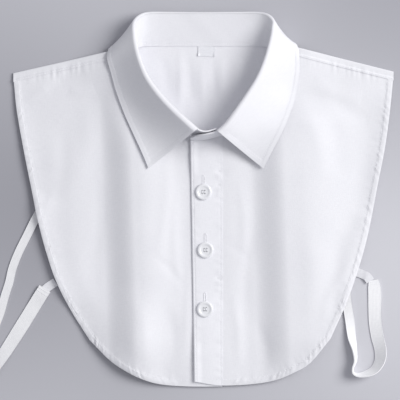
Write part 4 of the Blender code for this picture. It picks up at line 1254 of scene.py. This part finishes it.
# %% [markdown]
# ## Elastic bands
# The side loops are flat braided elastic, about 12 mm wide. Its rubber cores show as fine ribs along its
# length, and its edges are a little thicker. Where a loop turns back, the band stands up on its edge. Each
# band is lofted from its centre line, with its width and its roll at each point, so the ribs are real shape.

# %% The elastic finish and the two bands
BAND_THICK = 0.9
RIB_COUNT = 9
TABLE_GAP = 0.05


def elastic_finish():
    """Braided elastic: threads that slant both ways over the ribs."""
    material, shader, uv = new_finish("braided elastic", {
        "Roughness": 0.7, "Metallic": 0.0, "Specular IOR Level": 0.35, "Sheen Weight": 0.15})
    parts = uv.tree.nodes.new("ShaderNodeSeparateXYZ")
    uv.tree.links.new(uv.socket, parts.inputs[0])
    across, onward = Wire(uv.tree, parts.outputs["X"]), Wire(uv.tree, parts.outputs["Y"])
    slant = 4200.0
    braid = ((onward + across) * slant).wave() * ((onward - across) * slant).wave()
    uneven = streaks(uv, 300.0, 900.0, 0.0, 2.0)
    mask = braid * 0.22 + uneven * 0.9 + 0.1
    colour = mask.node("ShaderNodeMix", {"data_type": "RGBA"}, {
        0: mask, 6: (0.86, 0.86, 0.885, 1.0), 7: (0.975, 0.975, 0.985, 1.0)}, output=2)
    bump = braid.node("ShaderNodeBump", {}, {"Height": braid, "Strength": 0.4, "Distance": 0.00012})
    feed(shader, "Base Color", colour)
    feed(shader, "Roughness", 0.78 - uneven * 0.2)
    feed(shader, "Normal", bump)
    return material


elastic = elastic_finish()


def tape_grid(middles, widths, rolls, columns):
    """A grid across a tape that follows a line and is rolled by an angle at each of its points."""
    heading = np.gradient(middles, axis=0)
    across = np.stack([-heading[:, 1], heading[:, 0], 0 * heading[:, 0]], axis=1)
    across = across / np.linalg.norm(across, axis=1, keepdims=True)
    across = across * np.cos(rolls)[:, None]
    across[:, 2] = np.sin(rolls)
    places = np.linspace(-0.5, 0.5, columns)
    return middles[:, None] + across[:, None] * (widths[:, None] * places[None, :])[:, :, None]


def band(name, rows, seed):
    """One elastic band with its ribs. Returns the piece and its grid."""
    steps = 12
    line = curve_through([(row.x, row.y, row.z) for row in rows], steps)
    widths = curve_through([(row.width, row.roll) for row in rows], steps)
    width, roll = widths[:, 0], np.radians(widths[:, 1])
    lowest = width / 2 * np.abs(np.sin(roll)) + BAND_THICK / 2 * np.cos(roll) + TABLE_GAP + 0.08
    line[:, 2] = np.maximum(line[:, 2], lowest)
    columns = RIB_COUNT * 4 + 1
    grid = tape_grid(line, width, roll, columns)
    share = np.linspace(0.0, 1.0, columns)[None, :]
    thick = BAND_THICK * (0.80 + 0.15 * np.cos(share * math.tau * RIB_COUNT))
    thick = thick + 0.12 * (smooth(np.abs(share - 0.5), 0.42, 0.47)) + 0.0 * width[:, None]
    travelled = lengths(line)[:, None]
    curl = 0.18 * ripple(travelled, 26.0, seed) * (share - 0.5) * 2.0
    grid[:, :, 2] += np.maximum(curl, 0.0)
    print(name, "is", round(float(travelled[-1, 0])), "mm long")
    return shell_on_middle(name, grid, thick, elastic), grid


band_right, band_right_grid = band("elastic_right", BAND_RIGHT, 81)
band_left, band_left_grid = band("elastic_left", BAND_LEFT, 87)

# %% [markdown]
# ## Tabs
# The lower end of each band is sewn to a short tab of the same cloth as the hem, which comes out from under
# the front. The tab is a folded strip, a little narrower than the band.

# %% The two tabs
TAB_WIDTH = 8.2
TAB_THICK = 0.8
TAB_COLUMNS = 17


def tab(name, places):
    """The short folded tab that joins a front's side hem to its band."""
    line = curve_through(places, 10)
    count = len(line)
    grid = tape_grid(line, np.full(count, TAB_WIDTH), np.zeros(count), TAB_COLUMNS)
    share = np.linspace(0.0, 1.0, TAB_COLUMNS)[None, :]
    crown = 0.12 * np.cos(share * math.tau) + 0.0 * grid[:, :, 2]
    grid[:, :, 2] += 0.1 - crown * 0.5
    return shell_on_middle(name, grid, TAB_THICK, shirting)


tab_right = tab("tab_right", TAB_RIGHT)
tab_left = tab("tab_left", TAB_LEFT)

# %% [markdown]
# ## Stitches
# All the sewing is one kind of thing: a short thread that lies along a line on the cloth, over and over.
# Geometry Nodes does this well. Each seam is a line that carries the way up of the cloth below it. The
# tree spaces the stitches along the line, turns them with it and gives each a slightly different angle from
# a fixed seed.

# %% The stitch tree
def stitch_tree():
    """Geometry Nodes: threads set along lines, with named inputs for their sizes."""
    tree = bpy.data.node_groups.new("row of stitches", "GeometryNodeTree")
    tree.is_modifier = True
    face = tree.interface
    face.new_socket("Geometry", in_out="INPUT", socket_type="NodeSocketGeometry")
    for name, kind, value in (
            ("Pitch", "NodeSocketFloat", 0.0026), ("Length", "NodeSocketFloat", 0.0021),
            ("Thread", "NodeSocketFloat", 0.0004), ("Turn", "NodeSocketFloat", 0.0),
            ("Unevenness", "NodeSocketFloat", 0.06), ("Seed", "NodeSocketInt", 1)):
        face.new_socket(name, in_out="INPUT", socket_type=kind).default_value = value
    face.new_socket("Finish", in_out="INPUT", socket_type="NodeSocketMaterial")
    face.new_socket("Geometry", in_out="OUTPUT", socket_type="NodeSocketGeometry")
    given = tree.nodes.new("NodeGroupInput").outputs
    link = tree.links.new

    def node(kind, sockets=None, **settings):
        made = tree.nodes.new(kind)
        for name, value in settings.items():
            setattr(made, name, value)
        for name, value in (sockets or {}).items():
            if isinstance(value, bpy.types.NodeSocket):
                link(value, made.inputs[name])
            else:
                made.inputs[name].default_value = value
        return made

    curve = node("GeometryNodeMeshToCurve", {"Mesh": given["Geometry"]})
    spaced = node("GeometryNodeResampleCurve", {
        "Curve": curve.outputs[0], "Length": given["Pitch"]}, mode="LENGTH")
    heading = node("GeometryNodeInputTangent")
    up = node("GeometryNodeInputNamedAttribute", {"Name": "up"}, data_type="FLOAT_VECTOR")
    ahead = node("FunctionNodeAlignRotationToVector", {"Vector": heading.outputs[0]}, axis="X")
    level = node("FunctionNodeAlignRotationToVector", {
        "Rotation": ahead.outputs[0], "Vector": up.outputs[0]}, axis="Z", pivot_axis="X")
    wander = node("FunctionNodeRandomValue", {"Seed": given["Seed"]}, data_type="FLOAT")
    wander.inputs[2].default_value = -1.0
    wander.inputs[3].default_value = 1.0
    uneven = node("ShaderNodeMath", {0: wander.outputs[1], 1: given["Unevenness"]}, operation="MULTIPLY")
    turn = node("ShaderNodeMath", {0: uneven.outputs[0], 1: given["Turn"]}, operation="ADD")
    spin = node("FunctionNodeAxisAngleToRotation", {"Axis": (0.0, 0.0, 1.0), "Angle": turn.outputs[0]})
    turned_by = node("FunctionNodeRotateRotation", {
        "Rotation": level.outputs[0], "Rotate By": spin.outputs[0]}, rotation_space="LOCAL")
    thread = node("GeometryNodeMeshUVSphere", {"Segments": 6, "Rings": 6, "Radius": 0.5})
    size = node("ShaderNodeCombineXYZ", {"X": given["Length"], "Y": given["Thread"], "Z": given["Thread"]})
    placed = node("GeometryNodeInstanceOnPoints", {
        "Points": spaced.outputs[0], "Instance": thread.outputs["Mesh"],
        "Rotation": turned_by.outputs[0], "Scale": size.outputs[0]})
    real = node("GeometryNodeRealizeInstances", {"Geometry": placed.outputs[0]})
    soft = node("GeometryNodeSetShadeSmooth", {0: real.outputs[0]})
    painted = node("GeometryNodeSetMaterial", {"Geometry": soft.outputs[0], "Material": given["Finish"]})
    link(painted.outputs[0], tree.nodes.new("NodeGroupOutput").inputs[0])
    return tree


def thread_finish():
    """Sewing thread: white, a little brighter and smoother than the cloth."""
    material, shader, uv = new_finish("sewing thread", {
        "Metallic": 0.0, "Specular IOR Level": 0.4, "Sheen Weight": 0.1})
    place = uv.node("ShaderNodeTexCoord", output="Object")
    ply = place.node("ShaderNodeTexNoise", {}, {"Vector": place, "Scale": 900.0, "Detail": 1.0})
    colour = ply.node("ShaderNodeMix", {"data_type": "RGBA"}, {
        0: ply, 6: (0.80, 0.80, 0.84, 1.0), 7: (0.93, 0.93, 0.95, 1.0)}, output=2)
    feed(shader, "Base Color", colour)
    feed(shader, "Roughness", 0.5 + ply * 0.2)
    return material


stitching = stitch_tree()
thread = thread_finish()
print("stitch tree has", len(stitching.nodes), "nodes")

# %% [markdown]
# ## Lines of sewing
# A line of sewing is found on the cloth that it holds: either from places in plan and the height of the
# cloth's top, or along the grid that the cloth was made from. Both give the way up as well, so that the
# threads lie flat on the cloth and sink into it by half.

# %% Find lines on cloth and sew them
Sewn = namedtuple("Sewn", "points ups")


def over_grid(grid, rows, columns, side=1.0, proud=0.28):
    """A line through fractional rows and columns of a grid, set proud of it on one side."""
    normal = grid_normals(grid) * side
    rows = np.clip(rows, 0, grid.shape[0] - 1.001)
    columns = np.clip(columns, 0, grid.shape[1] - 1.001)
    r, c = rows.astype(int), columns.astype(int)
    a, b = (rows - r)[:, None], (columns - c)[:, None]

    def blend(field):
        near = field[r, c] * (1 - b) + field[r, c + 1] * b
        far = field[r + 1, c] * (1 - b) + field[r + 1, c + 1] * b
        return near * (1 - a) + far * a

    up = blend(normal)
    return Sewn(blend(grid) + up * proud, up)


def over_places(places, surface, proud):
    """A line over places in plan, on a surface given by its grid of points."""
    flat = surface[:, :, :2].reshape(-1, 2)
    normals = grid_normals(surface).reshape(-1, 3)
    heights = surface[:, :, 2].ravel()
    points, ups = [], []
    for place in places:
        away = ((flat - place) ** 2).sum(axis=1)
        close = np.argpartition(away, 4)[:4]
        weight = 1.0 / (away[close] + 0.05)
        up = (normals[close] * weight[:, None]).sum(axis=0)
        up = unit(up if up[2] > 0 else -up)
        height = (heights[close] * weight).sum() / weight.sum()
        points.append(np.array([place[0], place[1], height]) + up * proud)
        ups.append(up)
    return Sewn(np.array(points), np.array(ups))


def inset_line(line, inset, spacing=1.4):
    """A line in plan moved to its right-hand side by an inset, with its ends drawn in as far."""
    count = max(4, int(lengths(line)[-1] / spacing))
    dense = along(line, np.linspace(0.0, 1.0, count))
    heading = np.gradient(dense, axis=0)
    heading = heading / np.linalg.norm(heading, axis=1, keepdims=True)
    return dense + np.stack([heading[:, 1], -heading[:, 0]], axis=1) * inset


def sew(name, lines, seed, pitch=2.6, length=2.05, width=0.42, turn=0.0, uneven=0.06):
    """One piece of stitches along several lines, made by the stitch tree and kept as a plain mesh."""
    points = np.vstack([line.points for line in lines]) * MM
    ups = np.vstack([line.ups for line in lines])
    joins = []
    start = 0
    for line in lines:
        joins += [(i, i + 1) for i in range(start, start + len(line.points) - 1)]
        start += len(line.points)
    mesh = bpy.data.meshes.new(name + " line")
    mesh.from_pydata(points.tolist(), joins, [])
    mesh.attributes.new("up", "FLOAT_VECTOR", "POINT").data.foreach_set("vector", ups.ravel())
    seam = bpy.data.objects.new(name + " line", mesh)
    bpy.context.scene.collection.objects.link(seam)
    tree = seam.modifiers.new("stitches", "NODES")
    tree.node_group = stitching
    inputs = {item.name: item.identifier for item in stitching.interface.items_tree if item.in_out == "INPUT"}
    for socket, value in (
            ("Pitch", pitch * MM), ("Length", length * MM), ("Thread", width * MM), ("Turn", turn),
            ("Unevenness", uneven), ("Seed", seed), ("Finish", thread)):
        tree[inputs[socket]] = value
    seen = seam.evaluated_get(bpy.context.evaluated_depsgraph_get())
    made = bpy.data.meshes.new_from_object(seen)
    made.name = name
    bpy.data.objects.remove(seam)
    piece = bpy.data.objects.new(name, made)
    bpy.context.scene.collection.objects.link(piece)
    print(name, "triangles", sum(len(face.vertices) - 2 for face in made.polygons))
    return piece


def hem_line(front, inward, limit):
    """The hem's row of sewing in plan, up to where the fronts overlap."""
    line = inset_line(front.edge, HEM_SEWN_AT * inward)
    return line[np.abs(line[:, 0]) > limit]


stitches = []
under_line = over_places(hem_line(under, -1.0, 12.0), under_top, 0.02)
over_line = over_places(hem_line(over, 1.0, 16.0), over_top, 0.02)
stitches.append(sew("hem_stitches_left", [under_line], 5))
stitches.append(sew("hem_stitches_right", [over_line], 6))

# %% Sew the placket, the shoulders and the label
placket_line_y = np.linspace(line_y(placket_top_line, -8.0) - 3.0, -170.0, 170)
outer_seam = np.stack([placket_left(placket_line_y) + PLACKET_EDGE_SEAM, placket_line_y], axis=1)
inner_seam = np.stack([0 * placket_line_y + PLACKET_INNER_X - PLACKET_INNER_SEAM, placket_line_y], axis=1)
foot_x = np.linspace(-6.5, 16.0, 18)
foot_seam = np.stack([foot_x, line_y(placket_bottom_line, foot_x) + HEM_SEWN_AT], axis=1)
stitches.append(sew("placket_stitches", [
    over_places(seam, placket_top, 0.02) for seam in (outer_seam, inner_seam, foot_seam)], 7))

shoulder_rows = np.linspace(1.0, 80.0, 90)
shoulder_columns = np.full(90, 16.6)
stitches.append(sew("shoulder_stitches", [
    over_grid(shoulder_left_grid, shoulder_rows, shoulder_columns, -1.0),
    over_grid(shoulder_right_grid, shoulder_rows, shoulder_columns, 1.0)], 8))

label_rows = np.linspace(2.0, 22.0, 12)
stitches.append(sew("label_stitches", [
    over_grid(label_grid, label_rows, np.full(12, 2.2), 1.0, 0.22),
    over_grid(label_grid, label_rows, np.full(12, 37.8), 1.0, 0.22)], 9, pitch=1.9, length=1.4, width=0.3))

# %% Sew the collar
leaf_index = np.arange(leaf_grid.shape[0], dtype=float)
free_columns = np.array([np.interp(-TOPSTITCH_AT, -row, np.arange(len(row))) for row in to_free_edge])
front_columns = np.arange(ROLL_POINTS * 0.7, free_columns[0])
start_rows = np.array([
    np.interp(TOPSTITCH_AT, down_rows[:, int(c)], leaf_index) for c in front_columns])
end_rows = np.array([
    np.interp(down_rows[-1, int(c)] - TOPSTITCH_AT, down_rows[:, int(c)], leaf_index) for c in front_columns])
along_edge = np.arange(np.ceil(start_rows[-1]), end_rows[-1])
leaf_rows = np.concatenate([start_rows, along_edge, end_rows[::-1]])
leaf_columns = np.concatenate([
    front_columns, np.interp(along_edge, leaf_index, free_columns), front_columns[::-1]])
stitches.append(sew("leaf_stitches", [
    over_grid(leaf_grid, leaf_rows, leaf_columns, 1.0, LEAF_THICK / 2 + 0.02)], 10, pitch=2.4, length=1.9))

stand_index = np.arange(4.0, stand_grid.shape[0] - 4.0)
seam_share = STAND_SEAM_AT / STAND_HEIGHT
seam_column = np.full(len(stand_index), 1.0 + (seam_share - 0.03) / 0.045)
stitches.append(sew("stand_stitches", [
    over_grid(stand_grid, stand_index, seam_column, 1.0, STAND_THICK / 2 + 0.02),
    over_grid(stand_grid, stand_index, seam_column, -1.0, STAND_THICK / 2 + 0.02)],
    11, pitch=2.4, length=1.9))

# %% [markdown]
# ## Buttonholes and button threads
# A buttonhole is a slit with a close row of stitches square to it, all the way round. The same stitch tree
# makes it, with the threads turned a quarter and set close together. The buttons are held by a few strands
# through each pair of holes, which are short curves with a round bevel.

# %% Buttonholes and strands
def buttonhole(x, y):
    """A line round one upright buttonhole, which starts under its button and ends above it."""
    half, low, high = 0.95, y - 3.0, y + 14.6
    turn = np.linspace(math.pi, 0.0, 9)
    sides = np.linspace(low, high, 30)
    left = np.stack([np.full(30, x - half), sides], axis=1)
    top = np.stack([x + half * np.cos(turn), high + half * np.sin(turn)], axis=1)
    return np.vstack([left, top, left[::-1] + [2 * half, 0.0]])


holes = [over_places(buttonhole(x, y), placket_top, 0.08) for x, y in BUTTON_PLACES]
stitches.append(sew("buttonhole_stitches", holes, 12, 0.42, 1.5, 0.44, math.pi / 2, 0.16))


def strands(name, lines, radius):
    """Round threads along short lines, kept as a plain mesh."""
    curve = bpy.data.curves.new(name, "CURVE")
    curve.dimensions = "3D"
    curve.bevel_depth = radius * MM
    curve.bevel_resolution = 2
    curve.use_fill_caps = True
    for line in lines:
        spline = curve.splines.new("POLY")
        spline.points.add(len(line) - 1)
        spline.points.foreach_set("co", np.hstack([line * MM, np.ones((len(line), 1))]).ravel())
    drawn = bpy.data.objects.new(name + " curve", curve)
    bpy.context.scene.collection.objects.link(drawn)
    seen = drawn.evaluated_get(bpy.context.evaluated_depsgraph_get())
    mesh = bpy.data.meshes.new_from_object(seen)
    bpy.data.objects.remove(drawn)
    mesh.name = name
    mesh.materials.clear()
    mesh.materials.append(thread)
    mesh.shade_smooth()
    piece = bpy.data.objects.new(name, mesh)
    bpy.context.scene.collection.objects.link(piece)
    return piece


button_strands = []
for (x, y), base in zip(BUTTON_PLACES, button_heights):
    reach = BUTTON_HOLE_REACH * math.sqrt(0.5)
    share = np.linspace(-1.0, 1.0, 13)
    for side in (-1.0, 1.0):
        for shift in (-0.34, 0.0, 0.34):
            rise = 1.5 - 1.1 * np.abs(share) ** 8 + 0.12 * (shift == 0.0)
            button_strands.append(np.stack([
                x + side * reach + shift + 0.0 * share, y + share * (reach + 0.25), base + rise], axis=1))
button_threads = strands("button_threads", button_strands, 0.2)
print("strands", len(button_strands))

# %% Sew the bands to their tabs and under the fronts
def across_band(grid, row, side):
    """A short line of sewing across a band."""
    columns = np.linspace(2.0, grid.shape[1] - 3.0, 8)
    return over_grid(grid, np.full(8, float(row)), columns, side, 0.5)


stitches.append(sew("band_stitches", [
    across_band(band_right_grid, 4, 1.0), across_band(band_left_grid, 4, 1.0),
    across_band(band_right_grid, 9, 1.0), across_band(band_left_grid, 9, 1.0)], 13, 1.7, 1.4, 0.4))

# %% [markdown]
# ## Table and light
# The table is plain, pale and matt. Its colour drifts a little at random, and it carries painted shade to the
# left of the garment and painted light to its right, strongest close to it. The light is one broad lamp from
# the right and a little above the collar, so that the slopes that face left are grey and shadows fall softly
# to the left. A pale world fills the rest. A sun would give shadows that are too hard.

# %% Table, lamp and fill
TABLE_HALF = 2.2
LAMP_PLACE = (1.80, 0.60, 1.65)
LAMP_SIZE = 1.55
LAMP_WATTS = 52.0
FILL_COLOUR = (0.93, 0.94, 1.0)
FILL_STRENGTH = 0.47


def table_finish_with_painted_light():
    """A matt board, with painted shade that makes it darker to the left of the garment and painted light that
    makes it lighter to its right.
    """
    material, shader, uv = new_finish("board with painted light and shade", {
        "Roughness": 0.9, "Metallic": 0.0, "Specular IOR Level": 0.2})
    place = uv.node("ShaderNodeTexCoord", output="Object")
    parts = place.node("ShaderNodeSeparateXYZ", {}, {"Vector": place}, output="X")
    across, up = parts, Wire(parts.tree, parts.socket.node.outputs["Y"])
    # Painted light and shade: the board darkens to the left of the garment and lightens to its right, most
    # near the garment; drift and grain are its own random tone.
    shifted = up + across * 0.3 + 0.045
    near = (1.0 + (across * across + up * up) * 8.0) ** -3.0
    tone = across * (1.0 - shifted * shifted * 30.0) * near * 4.6
    drift = place.node("ShaderNodeTexNoise", {}, {"Vector": place, "Scale": 3.0, "Detail": 1.0})
    grain = place.node("ShaderNodeTexNoise", {}, {"Vector": place, "Scale": 900.0, "Detail": 2.0})
    mask = tone + drift * 0.3 + grain * 0.06 + 0.32
    colour = mask.node("ShaderNodeMix", {"data_type": "RGBA"}, {
        0: mask, 6: (0.36, 0.36, 0.395, 1.0), 7: (0.68, 0.68, 0.72, 1.0)}, output=2)
    feed(shader, "Base Color", colour)
    return material


table_mesh = bpy.data.meshes.new("table")
table_corners = [
    (-TABLE_HALF, -TABLE_HALF), (TABLE_HALF, -TABLE_HALF),
    (TABLE_HALF, TABLE_HALF), (-TABLE_HALF, TABLE_HALF)]
table_mesh.from_pydata([(x, y, 0.0) for x, y in table_corners], [], [(0, 1, 2, 3)])
table_mesh.materials.append(table_finish_with_painted_light())
table = bpy.data.objects.new("table", table_mesh)
bpy.context.scene.collection.objects.link(table)

lamp_light = bpy.data.lights.new("softbox", "AREA")
lamp_light.shape = "DISK"
lamp_light.size = LAMP_SIZE
lamp_light.energy = LAMP_WATTS
lamp_light.color = (1.0, 0.995, 0.985)
lamp = bpy.data.objects.new("softbox", lamp_light)
lamp.location = LAMP_PLACE
lamp.rotation_mode = "QUATERNION"
lamp.rotation_quaternion = Vector(LAMP_PLACE).to_track_quat("Z", "Y")
bpy.context.scene.collection.objects.link(lamp)

world = bpy.data.worlds.new("studio")
world.use_nodes = True
world.node_tree.nodes["Background"].inputs["Color"].default_value = (*FILL_COLOUR, 1.0)
world.node_tree.nodes["Background"].inputs["Strength"].default_value = FILL_STRENGTH
bpy.context.scene.world = world
bpy.context.scene.view_settings.view_transform = "Standard"
print("lamp at", LAMP_PLACE)

# %% [markdown]
# ## What each piece stands for
# Every piece lies on the one body of the garment, and each sheet of cloth stands for the solid that it was
# shaped on. A sheet is listed with its flat size as made here, without seam allowances. The area is given
# too where it is well under width times length, because the outline is curved.

Cloth = namedtuple("Cloth", "piece node slot width length area rests_on")
CLOTH_PIECES = [
    Cloth(back, "back_panel", "cotton", 0.355, 0.320, 0.090, []),
    Cloth(front_under, "front_under", "cotton", 0.200, 0.315, 0.046, [back]),
    Cloth(front_over, "front_over", "cotton", 0.193, 0.317, 0.046, [back, front_under]),
    Cloth(placket, "placket", "cotton", 0.030, 0.235, None, [front_over]),
    Cloth(shoulder_left, "shoulder_turn_left", "cotton", 0.112, 0.012, None, [front_under]),
    Cloth(shoulder_right, "shoulder_turn_right", "cotton", 0.112, 0.012, None, [front_over]),
    Cloth(stand, "collar_stand", "cotton", 0.430, 0.032, None, [front_under, placket]),
    Cloth(leaf, "collar_leaf", "cotton", 0.440, 0.070, 0.024, [stand]),
    Cloth(label, "size_label", "woven_label", 0.016, 0.010, None, [back]),
    Cloth(band_right, "band_right", "elastic", 0.0125, 0.256, None, [tab_right]),
    Cloth(band_left, "band_left", "elastic", 0.0125, 0.281, None, [tab_left]),
    Cloth(tab_right, "band_tab_right", "cotton", 0.0185, 0.010, None, []),
    Cloth(tab_left, "band_tab_left", "cotton", 0.0150, 0.010, None, []),
]


def shell_area(piece):
    """The area of a thin shell's cloth, which is half that of its surface."""
    return sum(face.area for face in piece.data.polygons) / 2


for cloth in CLOTH_PIECES:
    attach(cloth.piece, "root")
    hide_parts(cloth.node)
    print(cloth.piece.name, "has", round(shell_area(cloth.piece), 4), "m2 of cloth")

for number, piece in enumerate(buttons, start=1):
    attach(piece, "root")
    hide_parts(f"button_{number}")

for piece in stitches + [button_threads]:
    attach(piece, "root")
